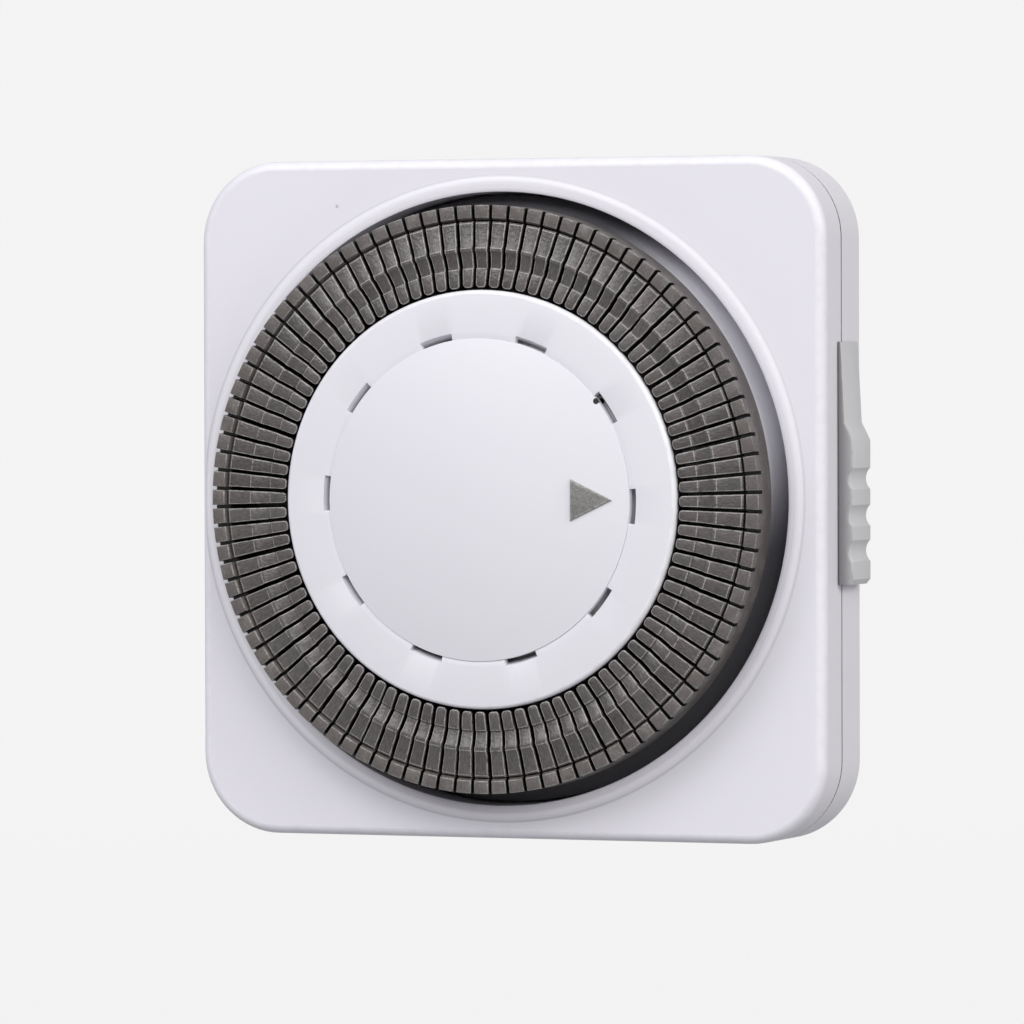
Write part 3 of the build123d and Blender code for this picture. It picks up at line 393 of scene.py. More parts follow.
def rounded(bm, edges, size, segments=3, edge_wear_and_highlight=1.0):
    """Rounds edges, and marks the new faces for wear, which on the tappets is also a painted highlight."""
    made = bmesh.ops.bevel(
        bm, geom=edges, offset=size, offset_type="OFFSET", segments=segments, profile=0.5,
        affect="EDGES", material=-1, clamp_overlap=True,
    )["faces"]
    layer = bm.faces.layers.float["edge_wear_and_highlight"]
    for face in made:
        face[layer] = edge_wear_and_highlight


def finished(bm, name, body, material, replaced, sharp=30.0, weighted=False):
    """Turns a bmesh in millimetres into a piece that rides on a body and stands for its nodes."""
    bmesh.ops.remove_doubles(bm, verts=bm.verts, dist=merge_distance)
    bmesh.ops.recalc_face_normals(bm, faces=bm.faces)
    bmesh.ops.scale(bm, vec=(mm, mm, mm), verts=bm.verts)
    mesh = bpy.data.meshes.new(name)
    bm.to_mesh(mesh)
    bm.free()
    mesh.shade_smooth()
    mesh.set_sharp_from_angle(angle=math.radians(sharp))
    mesh.materials.append(material)
    piece = bpy.data.objects.new(name, mesh)
    bpy.context.scene.collection.objects.link(piece)
    if weighted:
        shading = piece.modifiers.new("even_shading", "WEIGHTED_NORMAL")
        shading.keep_sharp = True
    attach(piece, body)
    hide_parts(*replaced)


def outline_inset(x, z):
    """How far a point lies inside the case's rounded square."""
    over_x = abs(x - case_shift) - (case_width / 2 - case_corner)
    over_z = abs(z) - (case_height / 2 - case_corner)
    return case_corner - math.hypot(max(over_x, 0), max(over_z, 0)) - min(max(over_x, over_z), 0)


def reach_to(x, z, inset, reach=40.0, tries=30):
    """How far the spoke through (x, z) runs until it is that far inside the case's outline."""
    length = math.hypot(x, z)
    for _ in range(tries):
        reach += outline_inset(x / length * reach, z / length * reach) - inset
    return reach


def height_at(chain, radius):
    """The height of a chain of (radius, height) points at a distance from the dial's axis."""
    for (near_end, near_height), (far_end, far_height) in zip(chain, chain[1:]):
        if radius <= far_end:
            part = max(radius - near_end, 0) / (far_end - near_end)
            return near_height + part * (far_height - near_height)
    return chain[-1][1]


def in_seam(bm):
    """Marks the walls and the floor of the groove between the case's two halves as lying deep."""
    depth = bm.loops.layers.float["depth"]
    for face in bm.faces:
        insets = [outline_inset(vert.co.x, vert.co.z) for vert in face.verts]
        heights = [abs(-vert.co.y - seam_height) for vert in face.verts]
        if max(heights) < seam_gap + touching and max(insets) < seam_depth + slack:
            for loop in face.loops:
                loop[depth] = 0.5 * outline_inset(loop.vert.co.x, loop.vert.co.z) / seam_gap


# The lip and the bore are spun in place. The sides are spun at outline_radius less their distance
# inside the outline, and then each spoke is drawn in until they lie there.
shell = marked(bmesh.new())
spun(shell, [
    (opening_radius, bore_end),
    *[(opening_radius + run, face_height + lip_height - drop) for run, drop in lip_edge],
    (lip_land - land_run, face_height + lip_height),
    (lip_land, face_height + lip_height - land_drop),
    *[(radius, face_height) for radius, height in lip_fall[1:]],
    (outline_radius, face_height),
    (outline_radius, seam_height + 2 * seam_gap),
    (outline_radius - seam_gap, seam_height + seam_gap),
    (outline_radius - seam_depth, seam_height + seam_gap),
    (outline_radius - seam_depth, seam_height),
    (outline_radius - shell_wall, seam_height),
    (outline_radius - shell_wall, face_height - face_thickness),
    (bore_outer, face_height - face_thickness),
    (bore_outer, bore_end),
], steps=spokes)
for vert in shell.verts:
    x, z = vert.co.x, vert.co.z
    radius = from_axis(vert.co)
    if radius > outline_radius - shell_wall - 0.1:
        reach = max(reach_to(x, z, outline_radius - radius), bore_outer + slack)
    elif radius > lip_land + slack and at_height(vert, face_height):
        limit = max(min(lip_foot, reach_to(x, z, front_rounding + 0.03)), lip_land + slack)
        knee = min(bead_foot, lip_land + bead_share * (limit - lip_land))
        if radius <= bead_foot:
            reach = lip_land + (radius - lip_land) * (knee - lip_land) / (bead_foot - lip_land)
        else:
            reach = knee + (radius - bead_foot) * (limit - knee) / (lip_foot - bead_foot)
    else:
        continue
    vert.co.x *= reach / radius
    vert.co.z *= reach / radius
front_corner = [
    edge for edge in shell.edges
    if all(
        abs(outline_inset(vert.co.x, vert.co.z)) < touching and at_height(vert, face_height)
        for vert in edge.verts
    )
]
rounded(shell, front_corner, front_rounding, segments=8, edge_wear_and_highlight=0.5)
rounding_back = face_height - front_rounding - touching
for vert in shell.verts:
    radius = from_axis(vert.co)
    if lip_land + level_tolerance < radius < lip_foot and -vert.co.y > rounding_back:
        fade = min(outline_inset(vert.co.x, vert.co.z) / front_rounding, 1)
        vert.co.y -= height_at(lip_fall, radius) * max(fade, 0)
in_seam(shell)
finished(shell, "front_shell_skin", "case", case_plastic, ["front_shell"], weighted=True)

# Wall frame: the shallow rear half of the case, screwed to the wall box through two slots. Between
# it and the front shell a fine groove runs round the sides, as wide as two sheets of paper.
rear_rounding = 0.9
pod_hole_radius = 28.3
pod_hole_flat = 25.8
box_screw_x = 30.0
box_slot_radius = 2.0
box_slot_reach = 1.0
corner_steps = 20
pod_hole_steps = 120
slot_steps = 32


def swept(bm, chain):
    """Carries a chain of (inset, height) points round the case's rounded square."""
    reach_x = case_width / 2 - case_corner
    reach_z = case_height / 2 - case_corner
    verts = [
        bm.verts.new((case_shift + reach_x + case_corner - inset, -height, -reach_z))
        for inset, height in chain
    ]
    geometry = verts + [bm.edges.new(pair) for pair in zip(verts, verts[1:])]
    corner = Vector((reach_x, 0, -reach_z))
    for move in ((0, 0, 2 * reach_z), (-2 * reach_x, 0, 0), (0, 0, -2 * reach_z), (2 * reach_x, 0, 0)):
        corner += Vector(move)
        middle = (case_shift + corner.x, 0, corner.z)
        geometry = bmesh.ops.spin(
            bm, geom=geometry, cent=middle, axis=(0, -1, 0), dvec=move, angle=0, steps=1,
            use_merge=False, use_duplicate=False,
        )["geom_last"]
        geometry = bmesh.ops.spin(
            bm, geom=geometry, cent=middle, axis=(0, -1, 0), dvec=(0, 0, 0), angle=math.tau / 4,
            steps=corner_steps, use_merge=False, use_duplicate=False,
        )["geom_last"]
    bmesh.ops.remove_doubles(bm, verts=bm.verts, dist=level_tolerance)


def fill_level(bm, height):
    """Closes a level between the open loops that lie in it."""
    open_edges = [
        edge for edge in bm.edges
        if len(edge.link_faces) < 2 and all(at_height(vert, height) for vert in edge.verts)
    ]
    bmesh.ops.triangle_fill(bm, use_beauty=True, use_dissolve=False, edges=open_edges, normal=(0, -1, 0))


rear = marked(bmesh.new())
swept(rear, (
    (shell_wall, shell_wall),
    (shell_wall, seam_height),
    (seam_depth, seam_height),
    (seam_depth, seam_height - seam_gap),
    (0, seam_height - seam_gap),
    (0, 0),
    (rear_rounding + 0.02, 0),
))
rear_edge = [
    edge for edge in rear.edges
    if len(edge.link_faces) == 2
    and all(at_height(vert, 0) for vert in edge.verts)
    and abs(edge.calc_face_angle()) > 1.0
]
rounded(rear, rear_edge, rear_rounding, segments=6, edge_wear_and_highlight=0.6)
for middle_x, radius, steps in (
    (0, pod_hole_radius, pod_hole_steps),
    (-box_screw_x, box_slot_radius, slot_steps),
    (box_screw_x, box_slot_radius, slot_steps),
):
    pair = [rear.verts.new((middle_x + radius, -height, 0)) for height in (0, shell_wall)]
    bmesh.ops.spin(
        rear, geom=pair + [rear.edges.new(pair)], cent=(middle_x, 0, 0), axis=(0, -1, 0), dvec=(0, 0, 0),
        angle=math.tau, steps=steps, use_merge=True, use_duplicate=False,
    )
for vert in rear.verts:
    if abs(from_axis(vert.co) - pod_hole_radius) < touching:
        vert.co.x = max(-pod_hole_flat, min(pod_hole_flat, vert.co.x))
    for middle_x in (-box_screw_x, box_screw_x):
        across = vert.co.x - middle_x
        if abs(math.hypot(across, vert.co.z) - box_slot_radius) < touching:
            vert.co.x += math.copysign(box_slot_reach, across)
fill_level(rear, 0)
fill_level(rear, shell_wall)
in_seam(rear)
finished(rear, "wall_frame_skin", "case", case_plastic, ["wall_frame"], weighted=True)

# Dial wheel: dark plastic with a slotted web. Its rim has one small block at each tappet's outer
# end, and behind the rim a smooth skirt widens like a cone down into the case's opening.
hours = 24
per_hour = 4
tappet_count = hours * per_hour
first_slot = -2.1
pitch = math.tau / tappet_count
rim_inner = 32.63
rim_middle = 33.5
rim_outer = 34.42
rim_top = 18.8
rim_back = 14.4
rim_foot = 11.9
block_back = 17.5
block_gap = 0.42
block_chamfer = 0.3
block_fall = 0.35
block_rounding = 0.1
back_rounding = 0.07
skirt_inner = rim_inner + 0.2
skirt_radius = 34.05
skirt_flare = 0.15
skirt_knee = 12.6
skirt_foot_radius = 35.75
skirt_foot = 9.4
skirt_end = 8.0
rim_grey = (0.15, 0.131, 0.126, 1.0)
rim_rubbed = (0.3, 0.295, 0.28, 1.0)
rim_bloom = (0.24, 0.222, 0.212, 1.0)
rim_speck = (0.065, 0.058, 0.054, 1.0)
rim_paint_low = 0.08
rim_paint_ragged = 0.9
lamp_bearing_rise = (-0.2, 0.3)
lamp_bearing_fall = (0.75, 1.2)
skirt_lit = (0.5, 0.49, 0.53, 1.0)
skirt_shaded = (0.06, 0.058, 0.066, 1.0)
skirt_lit_deep = (0.72, 0.71, 0.76, 1.0)
skirt_shaded_deep = (0.15, 0.146, 0.16, 1.0)
gap_shade_black = (0.003, 0.003, 0.003, 1.0)


def bearing_of(place):
    """The angle of a shaded point round the dial's axis, from three o'clock towards twelve."""
    return place.math("ARCTAN2", place.axis("Z"), place.axis("X"))


def merged_copy(name):
    """A node's solid in millimetres, with its triangles joined into flat faces."""
    bm = bmesh.new()
    bm.from_mesh(nodes[name].data)
    marked(bm)
    bmesh.ops.scale(bm, vec=(1 / mm, 1 / mm, 1 / mm), verts=bm.verts)
    bmesh.ops.remove_doubles(bm, verts=bm.verts, dist=merge_distance)
    bmesh.ops.dissolve_limit(
        bm, angle_limit=math.radians(0.6), use_dissolve_boundaries=False, verts=bm.verts, edges=bm.edges,
    )
    return bm


def spun_by_turns(bm, chain, start, turns):
    """Spins a closed chain through turns of (angle, steps, kind); gives each kind's new faces."""
    verts = [bm.verts.new((radius, -height, 0)) for radius, height in chain]
    edges = [bm.edges.new(pair) for pair in zip(verts, verts[1:] + verts[:1])]
    bmesh.ops.rotate(bm, cent=(0, 0, 0), verts=verts, matrix=Matrix.Rotation(start, 3, (0, -1, 0)))
    last = verts + edges
    made = {}
    known = set(bm.faces)
    for angle, steps, kind in turns:
        last = bmesh.ops.spin(
            bm, geom=last, cent=(0, 0, 0), axis=(0, -1, 0), dvec=(0, 0, 0), angle=angle, steps=steps,
            use_merge=False, use_duplicate=False,
        )["geom_last"]
        grown = [face for face in bm.faces if face not in known]
        made.setdefault(kind, []).extend(grown)
        known.update(grown)
    bmesh.ops.remove_doubles(bm, verts=bm.verts, dist=merge_distance)
    return {kind: [face for face in faces if face.is_valid] for kind, faces in made.items()}


def extruded(bm, faces, hollow=False):
    """Draws faces out of a shape and gives their new ends' vertices; hollow drops the old faces."""
    grown = bmesh.ops.extrude_face_region(bm, geom=faces)["geom"]
    if hollow:
        bmesh.ops.delete(bm, geom=[face for face in faces if face.is_valid], context="FACES_ONLY")
    return [item for item in grown if isinstance(item, bmesh.types.BMVert)]


def edges_at(bm, bend, test):
    """The edges that bend by some degrees and whose ends both pass a test on (radius, height)."""
    return [
        edge for edge in bm.edges
        if all(test(from_axis(vert.co), -vert.co.y) for vert in edge.verts)
        and len(edge.link_faces) == 2 and edge.calc_face_angle() >= math.radians(bend)
    ]


wheel_plastic = moulded(
    "wheel_plastic", rim_grey, rim_rubbed, roughness=0.36, grain=2600.0, mottle=0.14, bump=0.25,
)
wheel_place = object_place(wheel_plastic)
wheel_height = off_wall(wheel_place)
wheel_cloud = wheel_place.noise(420.0, 4.0)
wheel_speckle = wheel_place.noise(5200.0, 3.0)
painted_on(wheel_plastic, wheel_cloud.spread(0.47, 0.68) * 0.55, rim_bloom)
painted_on(wheel_plastic, wheel_speckle.spread(0.36, 0.64) * 0.55, rim_speck)
ragged_edge = rim_back - rim_paint_low + (wheel_cloud - 0.5) * rim_paint_ragged
# The skirt's colour is painted light and shade: pale where it faces the lamps on the right, dark elsewhere,
# and paler deep down in the opening.
facing_lamp = bearing_of(wheel_place).band(lamp_bearing_rise, lamp_bearing_fall)
low_down = 1.0 - wheel_height.spread(skirt_foot + 0.2, rim_back - 1)
skirt_shade = facing_lamp.mix(
    low_down.mix(skirt_shaded, skirt_shaded_deep), low_down.mix(skirt_lit, skirt_lit_deep),
)
painted_on(wheel_plastic, wheel_height.math("LESS_THAN", wheel_height, ragged_edge), skirt_shade)
# Painted shade, near black, in the slits between the rim's blocks.
shade_in_gaps(wheel_plastic, gap_shade_black)

wheel = merged_copy("dial_wheel")
outside = [
    face for face in wheel.faces
    if all(from_axis(vert.co) > rim_inner - touching for vert in face.verts)
]
bmesh.ops.delete(wheel, geom=outside, context="FACES")
rim = marked(bmesh.new())
gap_angle = block_gap / rim_middle
steps_round = ((gap_angle, 1, "gap"), (pitch - gap_angle, 2, "block"))
rim_section = (
    (skirt_inner, rim_foot),
    (rim_inner, rim_foot),
    (rim_inner, block_back),
    (rim_outer, block_back),
    (rim_outer, rim_back),
    (skirt_radius, rim_back),
    (skirt_radius + skirt_flare, skirt_knee),
    (skirt_foot_radius, skirt_foot),
    (skirt_foot_radius, skirt_end),
    (skirt_inner, skirt_end),
)
made = spun_by_turns(
    rim, rim_section, math.radians(first_slot) - gap_angle / 2, steps_round * tappet_count,
)
raised = [face for face in made["block"] if all(at_height(vert, block_back) for vert in face.verts)]
tops = extruded(rim, raised, hollow=True)
bmesh.ops.translate(rim, vec=(0, block_back - rim_top, 0), verts=tops)
bmesh.ops.recalc_face_normals(rim, faces=rim.faces)
inner_edges = edges_at(
    rim, 60, lambda radius, height: radius < rim_inner + touching and height > rim_top - touching,
)
rounded(rim, inner_edges, block_chamfer, segments=1, edge_wear_and_highlight=0.0)
lowered = [
    vert for vert in rim.verts if from_axis(vert.co) < rim_inner + 0.02 and -vert.co.y > rim_top - 0.5
]
bmesh.ops.translate(rim, vec=(0, block_fall, 0), verts=lowered)
top_edges = edges_at(
    rim, 35, lambda radius, height: radius > rim_inner + 0.1 and height > rim_top - 0.1,
)
rounded(rim, top_edges, block_rounding, segments=2)
back_edge = edges_at(
    rim, 60,
    lambda radius, height: abs(radius - rim_outer) < touching and abs(height - rim_back) < touching,
)
rounded(rim, back_edge, back_rounding, segments=2)
depth = rim.loops.layers.float["depth"]
for face in rim.faces:
    middle = face.calc_center_median()
    radius = from_axis(middle)
    sideways = abs(face.normal.dot(Vector((-middle.z, 0, middle.x)) / radius)) > 0.6
    at_floor = abs(middle.y + block_back) < touching and radius > rim_inner + slack
    if -middle.y > block_back - touching and (sideways or at_floor):
        for loop in face.loops:
            loop[depth] = max(rim_top - 0.1 + loop.vert.co.y, 0)
rim_mesh = bpy.data.meshes.new("rim")
rim.to_mesh(rim_mesh)
rim.free()
wheel.from_mesh(rim_mesh)
bpy.data.meshes.remove(rim_mesh)
finished(wheel, "dial_wheel_skin", "dial", wheel_plastic, ["dial_wheel"], sharp=28.0)

# Tappets: warm grey plastic, four to the hour. Each is a wedge with a stepped top: a middle block,
# a low ridge, a slope, and an inner block rounded like a fingertip. No two stand quite alike.
tappet_gap = 0.41
tappet_foot = 15.8
tappet_top = (
    (24.78, 19.1),
    (25.3, 19.14),
    (27.0, 18.82),
    (27.2, 18.6),
    (28.7, 18.82),
    (29.04, 19.08),
    (29.4, 19.08),
    (29.8, 18.84),
    (32.3, 18.64),
    (32.5, 18.5),
)
tappet_steps = (27.0, 29.4, 32.3)
tappet_inner = tappet_top[0][0]
tappet_outer = tappet_top[-1][0]
tappet_tops = 18.2
fingertip = 0.4
edge_rounding = 0.12
step_rounding = 0.07
side_shade_start = 0.14
end_shade = 0.2
turn_play = 0.1
lift_low = -0.14
lift_high = 0.07
tappet_dark = (0.036, 0.03, 0.029, 1.0)
tappet_rubbed_highlight = (0.3, 0.285, 0.275, 1.0)
tappet_light = (0.144, 0.125, 0.123, 1.0)
tappet_green = (0.108, 0.112, 0.108, 1.0)
tappet_edge_highlight = (0.36, 0.345, 0.335, 1.0)
streaks_round = 30.0
streaks_along = 250.0
tappet_plastic = moulded(
    "tappet_plastic", tappet_dark, tappet_rubbed_highlight, roughness=0.33, grain=2600.0, mottle=0.06, bump=0.4,
)
tappet_place = object_place(tappet_plastic)
tone = tappet_place.make("ShaderNodeAttribute", {"attribute_name": "tone"}, output="Fac")
edge_rub_and_highlight = tappet_place.make("ShaderNodeAttribute", {"attribute_name": "edge_wear_and_highlight"}, output="Fac")
rayed = tappet_place.make("ShaderNodeCombineXYZ", inputs={
    0: bearing_of(tappet_place) * streaks_round,
    1: tappet_place.length() * streaks_along,
})
streak = rayed.noise(6.0, 4.0)
speckle = rayed.noise(14.0, 3.0)
greenish = tappet_place.noise(260.0, 3.0).spread(0.45, 0.75).mix(tappet_light, tappet_green)
mix_share = tone * 0.35 + streak.spread(0.36, 0.64) * 0.35 + speckle.spread(0.36, 0.64) * 0.3
painted_on(tappet_plastic, mix_share, greenish)
# Light, broken lines along the tappets' rounded edges: wear, and a painted highlight.
painted_on(tappet_plastic, edge_rub_and_highlight * streak.spread(0.36, 0.6), tappet_edge_highlight)
# Painted shade, near black, down the tappets' sides in the gaps between them.
shade_in_gaps(tappet_plastic, gap_shade_black)


def tappet(bm, own_tone, turn, lift):
    """Draws one tappet's outline out into a wedge, rounds it and sets it in its place."""
    known = set(bm.verts)
    chain = ((tappet_outer, tappet_foot), (tappet_inner, tappet_foot), *tappet_top)
    outline = [bm.verts.new((radius, -height, 0)) for radius, height in chain]
    far_side = extruded(bm, [bm.faces.new(outline)])
    for sign, verts in ((-1, outline), (1, far_side)):
        for vert in verts:
            vert.co.z = sign * (pitch * vert.co.x - tappet_gap) / 2
    bmesh.ops.recalc_face_normals(bm, faces=[face for face in bm.faces if known.isdisjoint(face.verts)])
    inner = [
        edge for edge in bm.edges
        if known.isdisjoint(edge.verts) and all(vert.co.x < tappet_inner + 0.02 for vert in edge.verts)
        and abs(edge.verts[0].co.z - edge.verts[1].co.z) < touching
    ]
    rounded(bm, inner, fingertip, segments=3, edge_wear_and_highlight=0.0)
    crests = [
        edge for edge in bm.edges
        if known.isdisjoint(edge.verts) and all(-vert.co.y > tappet_tops for vert in edge.verts)
        and len(edge.link_faces) == 2 and edge.calc_face_angle() > math.radians(38)
    ]
    along = [
        edge for edge in crests
        if abs(edge.verts[0].co.x - edge.verts[1].co.x) >= 0.02
        or edge.verts[0].co.x <= tappet_inner + 0.12
    ]
    rounded(bm, along, edge_rounding, segments=2)
    steps = [
        edge for edge in bm.edges
        if known.isdisjoint(edge.verts) and all(-vert.co.y > tappet_tops for vert in edge.verts)
        and any(all(abs(vert.co.x - step) < 0.005 for vert in edge.verts) for step in tappet_steps)
    ]
    rounded(bm, steps, step_rounding, segments=2, edge_wear_and_highlight=0.8)
    new = [vert for vert in bm.verts if vert not in known]
    tint = bm.faces.layers.float["tone"]
    depth = bm.loops.layers.float["depth"]
    for face in {face for vert in new for face in vert.link_faces}:
        face[tint] = own_tone
        for loop in face.loops:
            at_end = loop.vert.co.x > tappet_outer - touching
            lying = height_at(tappet_top, loop.vert.co.x) - side_shade_start + loop.vert.co.y
            loop[depth] = max(lying, 0) * (end_shade if at_end else 1)
    bmesh.ops.translate(bm, vec=(0, -lift, 0), verts=new)
    turned = Matrix.Rotation(math.radians(turn), 3, (0, -1, 0))
    bmesh.ops.rotate(bm, cent=(0, 0, 0), matrix=turned, verts=new)


wear = random.Random(11)
for hour in range(hours):
    group = marked(bmesh.new())
    for quarter in range(per_hour):
        own_tone = wear.random()
        turn = first_slot + (hour * per_hour + quarter + 0.5) * 360 / tappet_count
        turn += wear.uniform(-turn_play, turn_play)
        tappet(group, own_tone, turn, wear.uniform(lift_low, lift_high))
    name = f"tappets_{hour:02d}"
    finished(group, name, name, tappet_plastic, [f"tappets_hour_{hour:02d}"])

# Dial face: a slightly crowned ring of white plastic, snapped onto the wheel inside the tappets.
# Each of the ten notches in its inner circle has a ramp that goes down to the cap's edge.
face_outer = 24.5
face_inner = 18.88
face_top = 19.5
face_crown = 19.68
face_back = 18.6
face_rounding = 0.5
face_inner_rounding = 0.04
notch_count = 10
notch_depth = 0.78
notch_angle = math.radians(12.1)
notch_outer = face_inner + notch_depth
ramp_inner = 18.5
ramp_section = (
    (ramp_inner, 17.6), (20.2, 17.6), (20.2, 19.2), (notch_outer + 0.01, face_top),
    (19.4, 18.9), (19.1, 18.1), (18.9, 17.9), (ramp_inner, 17.9),
)
speck_x = 14.78
speck_z = 11.5
speck_radius = 0.4
speck_black = (0.004, 0.004, 0.004, 1.0)
face_white = (0.785, 0.772, 0.825, 1.0)
face_rubbed = (0.88, 0.87, 0.92, 1.0)
lamp_side = (0.82, 0, 0.57)
slot_shade_dark = (0.16, 0.155, 0.165, 1.0)
slot_shade_pale = (0.85, 0.85, 0.88, 1.0)
face_plastic = moulded("face_plastic", face_white, face_rubbed, roughness=0.36, grain=4200.0, mottle=0.012)
face_place = object_place(face_plastic)
# Painted shade in the notches: dark on the side away from the lamps, pale on the side towards them, fading
# out towards the face.
towards_lamp = face_place.dot(lamp_side) * (1 / mm)
slot_shade = towards_lamp.spread(-17.0, 21.0).mix(slot_shade_dark, slot_shade_pale)
painted_on(face_plastic, 1.0 - off_wall(face_place).spread(18.1, face_top - 0.05), slot_shade)
painted_on(face_plastic, near(face_place, speck_x, speck_z, speck_radius), speck_black)
ring = marked(bmesh.new())
made = spun_by_turns(ring, (
    (notch_outer, face_back),
    (face_outer, face_back),
    (face_outer, face_top),
    (notch_outer, face_crown),
), math.radians(first_slot) - notch_angle / 2, (
    (notch_angle, 6, "notch"), (math.tau / notch_count - notch_angle, 12, "clear"),
) * notch_count)
inward = [
    face for face in made["clear"]
    if all(abs(from_axis(vert.co) - notch_outer) < touching for vert in face.verts)
]
moved = extruded(ring, inward, hollow=True)
shrink = face_inner / notch_outer
bmesh.ops.scale(ring, vec=(shrink, 1, shrink), verts=moved)
outer_edge = edges_at(
    ring, 60,
    lambda radius, height: abs(radius - face_outer) < touching and height > face_top - touching,
)
rounded(ring, outer_edge, face_rounding, segments=6, edge_wear_and_highlight=0.6)
inner_edges = edges_at(
    ring, 60, lambda radius, height: radius < face_outer - 1 and height > face_crown - touching,
)
rounded(ring, inner_edges, face_inner_rounding, segments=2, edge_wear_and_highlight=0.3)
spun(ring, ramp_section)
finished(ring, "dial_face_ring", "dial", face_plastic, ["dial_face"])

# Pointer cap: the fixed white plastic disc on the post. It stands just proud of the dial face, and
# half of a dark speck lies on its edge. The grey arrow is a wedge that is glued into its recess.
cap_radius = 18.865
cap_front = 19.8
cap_back = 18.75
cap_rounding = 0.05
cap_shade = (0.7, 0.7, 0.73, 1.0)
arrow_corners = ((16.75, 0), (11.55, 2.45), (11.55, -2.45))
arrow_sunk = 0.3
arrow_proud = 0.3
arrow_rounding = 0.25
arrow_grey = (0.245, 0.24, 0.235, 1.0)
arrow_rubbed = (0.42, 0.42, 0.41, 1.0)
arrow_fleck = (0.16, 0.157, 0.15, 1.0)
cap_plastic = moulded("cap_plastic", face_white, face_rubbed, roughness=0.36, grain=4200.0, mottle=0.012)
cap_place = object_place(cap_plastic)
painted_on(cap_plastic, near(cap_place, speck_x, speck_z, speck_radius), speck_black)
painted_on(cap_plastic, 1.0 - off_wall(cap_place).spread(18.9, face_top), cap_shade)
cap = marked(bmesh.new())
cap_section = ((0, cap_back), (cap_radius, cap_back), (cap_radius, cap_front), (0, cap_front))
spun(cap, cap_section, closed=False, steps=180)
cap_edge = edges_at(
    cap, 60, lambda radius, height: radius > cap_radius - 0.1 and height > cap_front - 0.1,
)
rounded(cap, cap_edge, cap_rounding, segments=2, edge_wear_and_highlight=0.0)
finished(cap, "pointer_cap_disc", "case", cap_plastic, ["pointer_cap"])
arrow_plastic = moulded(
    "arrow_plastic", arrow_grey, arrow_rubbed, roughness=0.42, grain=3000.0, mottle=0.08, bump=0.4,
)
arrow_grain = object_place(arrow_plastic).noise(3600.0, 3.0)
painted_on(arrow_plastic, arrow_grain.spread(0.4, 0.62) * 0.7, arrow_fleck)
arrow = marked(bmesh.new())
corners = [arrow.verts.new((x, arrow_sunk - cap_front, z)) for x, z in arrow_corners]
top = extruded(arrow, [arrow.faces.new(corners)])
bmesh.ops.translate(arrow, vec=(0, -arrow_sunk - arrow_proud, 0), verts=top)
top_edges = [edge for edge in arrow.edges if all(vert in top for vert in edge.verts)]
rounded(arrow, top_edges, arrow_rounding, segments=2, edge_wear_and_highlight=0.6)
finished(arrow, "pointer_arrow_wedge", "case", arrow_plastic, ["pointer_arrow"])

# Slide knob: light grey plastic, with a thin tongue above and a thumb pad with three hollows. Its
# tongue and pad ride on the case's side, and its shank goes through the wall to the selector bar.
side_x = case_shift + case_width / 2
knob_back = 2.1
knob_front = 8.6
knob_low = -9.9
knob_high = 18.3
knob_rounding = 0.25
off_side = 0.1
proud = 1.9
pad_low = -9.3
pad_high = 6.8
grips = (2.4, -1.9, -6.0)
grip_radius = 1.7
grip_depth = 0.55
grip_half_angle = 47
grip_half_steps = 4
neck = ((proud - 0.4, 7.7), (0.85, 8.9), (0.35, knob_high))
knob_grey = (0.63, 0.62, 0.65, 1.0)
knob_rubbed = (0.78, 0.77, 0.8, 1.0)
knob_front_shade = (0.21, 0.195, 0.203, 1.0)
front_shade_reach = 2.4
front_shade_fall = 0.6
knob_shade = (0.1, 0.1, 0.1, 1.0)
knob_shade_reach = 0.32
knob_plastic = moulded(
    "knob_plastic", knob_grey, knob_rubbed, roughness=0.42, grain=2600.0, mottle=0.03, bump=0.06,
)
knob_place = object_place(knob_plastic)
knob_reach = knob_place.axis("X") * (1 / mm)
# Painted shade on the knob's front face, darkest next to the case's side, and on its foot against the case.
shaded_front = off_wall(knob_place).spread(knob_front - 0.25, knob_front - 0.1)
front_shade_share = 1.0 - knob_reach.spread(side_x, side_x + front_shade_reach) * front_shade_fall
painted_on(knob_plastic, shaded_front * front_shade_share, knob_front_shade)
shaded_foot = 1.0 - knob_reach.spread(side_x + off_side, side_x + knob_shade_reach)
painted_on(knob_plastic, shaded_foot, knob_shade)
knob = marked(bmesh.new())
line = [(off_side, knob_low), (proud - 0.5, knob_low), (proud, pad_low)]
for middle in reversed(grips):
    for step in range(-grip_half_steps, grip_half_steps + 1):
        angle = math.radians(grip_half_angle * step / grip_half_steps)
        x = proud + grip_radius - grip_depth - grip_radius * math.cos(angle)
        line.append((min(proud, x), middle + grip_radius * math.sin(angle)))
line += [(proud, pad_high), *neck, (off_side, knob_high)]
outline = [knob.verts.new((side_x + x, -knob_back, z)) for x, z in line]
front = extruded(knob, [knob.faces.new(outline)])
bmesh.ops.translate(knob, vec=(0, knob_back - knob_front, 0), verts=front)
rims = [
    edge for edge in knob.edges
    if abs(edge.verts[0].co.y - edge.verts[1].co.y) < touching
    and all(vert.co.x > side_x + 0.2 for vert in edge.verts)
]
rounded(knob, rims, knob_rounding, segments=3, edge_wear_and_highlight=0.8)
finished(knob, "slide_knob_skin", "selector", knob_plastic, ["slide_knob"])

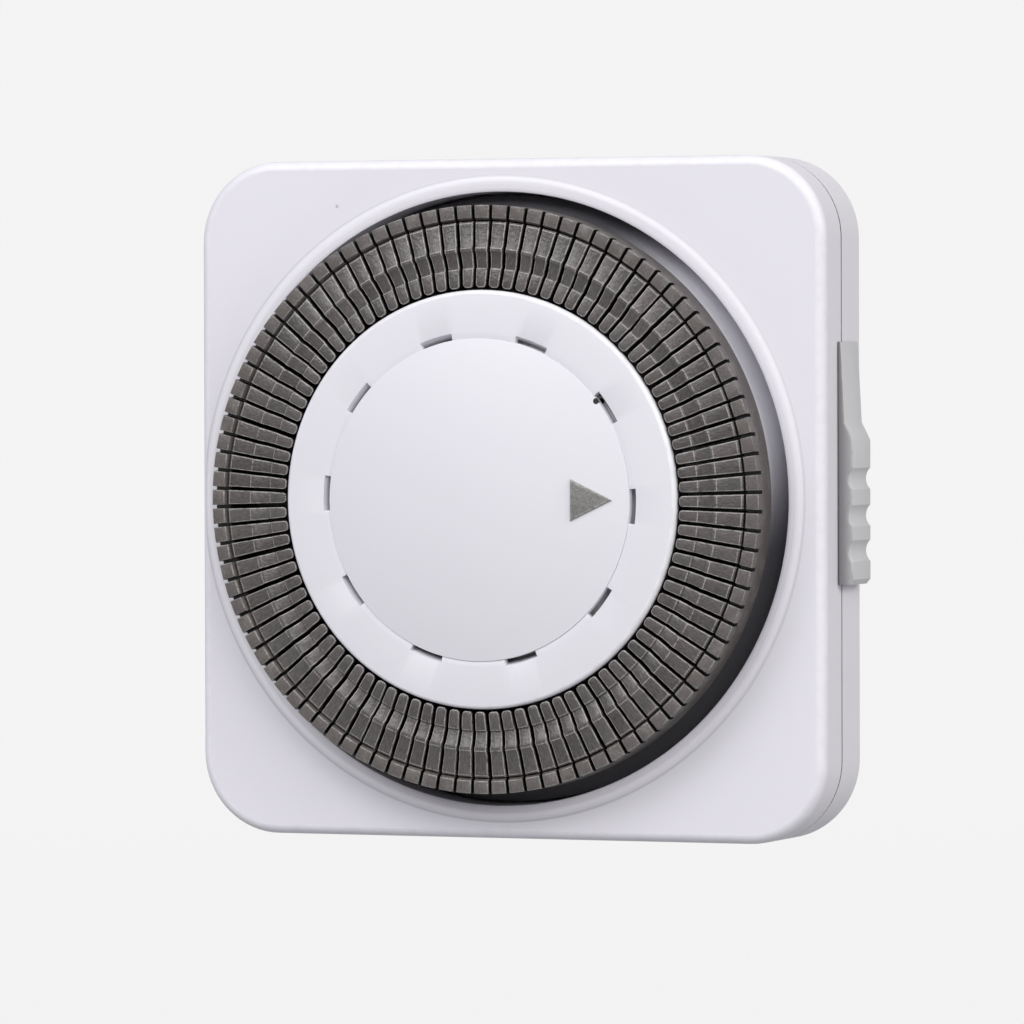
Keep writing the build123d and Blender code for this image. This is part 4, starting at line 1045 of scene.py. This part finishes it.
# Behind the wall: the pod, the terminal block and everything inside keep their solids, and get
# the finish of what they are made of. The pod is a tougher grey moulding with a matt surface.
pod_grey = (0.56, 0.56, 0.58, 1.0)
pod_rubbed = (0.7, 0.7, 0.72, 1.0)
terminal_white = (0.76, 0.75, 0.71, 1.0)
terminal_rubbed = (0.84, 0.83, 0.8, 1.0)
acetal_white = (0.74, 0.73, 0.69, 1.0)
acetal_rubbed = (0.82, 0.81, 0.78, 1.0)
steel_bright = (0.6, 0.61, 0.63, 1.0)
steel_dull = (0.45, 0.46, 0.46, 1.0)
brass_bright = (0.7, 0.53, 0.25, 1.0)
brass_dull = (0.5, 0.37, 0.18, 1.0)
bronze_bright = (0.66, 0.4, 0.25, 1.0)
bronze_dull = (0.45, 0.27, 0.17, 1.0)
silver_bright = (0.83, 0.82, 0.8, 1.0)
silver_dull = (0.6, 0.58, 0.53, 1.0)
pod_sharp_angle = 15.0
draw_marks = (300.0, 300.0, 6000.0)
draw_mark_depth = 0.0001
metal_edge_reach = 0.00015


def metal(name, color, dull, roughness):
    """A plated or rolled metal: fine draw marks, dull patches, and edges that are rubbed bright."""
    material = bpy.data.materials.new(name)
    material.use_nodes = True
    tree = material.node_tree
    shader = tree.nodes["Principled BSDF"]
    shader.inputs["Metallic"].default_value = 1.0
    place = object_place(material)
    drawn = place.make("ShaderNodeMapping", inputs={"Vector": place, "Scale": draw_marks})
    brushed = drawn.noise(1.0, 2.0)
    patch = place.noise(420.0, 4.0)
    soft = place.make("ShaderNodeBevel", {"samples": 4}, {"Radius": metal_edge_reach})
    along = soft.dot(place.make("ShaderNodeNewGeometry", output="Normal"))
    rubbed = ((1.0 - along) * edge_gain).spread(0.0, 1.0)
    bright = tuple(min(channel * 1.15, 1) for channel in color[:3]) + (1.0,)
    base = patch.spread(0.45, 0.75).mix(brushed.mix(color, bright), dull)
    tree.links.new(rubbed.mix(base, bright).socket, shader.inputs["Base Color"])
    rough = roughness + (brushed - 0.5) * 0.15 + patch.spread(0.45, 0.75) * 0.15 - rubbed * 0.1
    tree.links.new(rough.socket, shader.inputs["Roughness"])
    relief = {"Strength": 0.08, "Distance": draw_mark_depth, "Height": brushed, "Normal": soft}
    tree.links.new(place.make("ShaderNodeBump", inputs=relief).socket, shader.inputs["Normal"])
    return material


finishes = {
    "pod_grey": moulded(
        "pod_plastic", pod_grey, pod_rubbed, roughness=0.5, grain=2200.0, mottle=0.04, bump=0.1,
        copied=True,
    ),
    "terminal_white": moulded(
        "terminal_plastic", terminal_white, terminal_rubbed, roughness=0.45, grain=2200.0, mottle=0.03,
        bump=0.06, copied=True,
    ),
    "acetal": moulded(
        "acetal", acetal_white, acetal_rubbed, roughness=0.35, grain=2600.0, mottle=0.03, copied=True,
    ),
    "steel": metal("zinc_plated_steel", steel_bright, steel_dull, roughness=0.32),
    "brass": metal("brass", brass_bright, brass_dull, roughness=0.3),
    "bronze": metal("spring_bronze", bronze_bright, bronze_dull, roughness=0.3),
    "silver": metal("contact_silver", silver_bright, silver_dull, roughness=0.22),
}
record = frame["record"]
slots = {entry["node"]: entry["material_slot"] for entry in record["subparts"]}
bodies = {node: body for body, members in record["behaviour"]["bodies"].items() for node in members}
for name in ("movement_case", "terminal_block", "terminal_clamps", "clamp_screws"):
    finish = finishes[slots[name]]
    finished(merged_copy(name), name + "_skin", bodies[name], finish, [name], pod_sharp_angle, weighted=True)
for name, node in nodes.items():
    if slots[name] in finishes:
        node.data.materials.clear()
        node.data.materials.append(finishes[slots[name]])
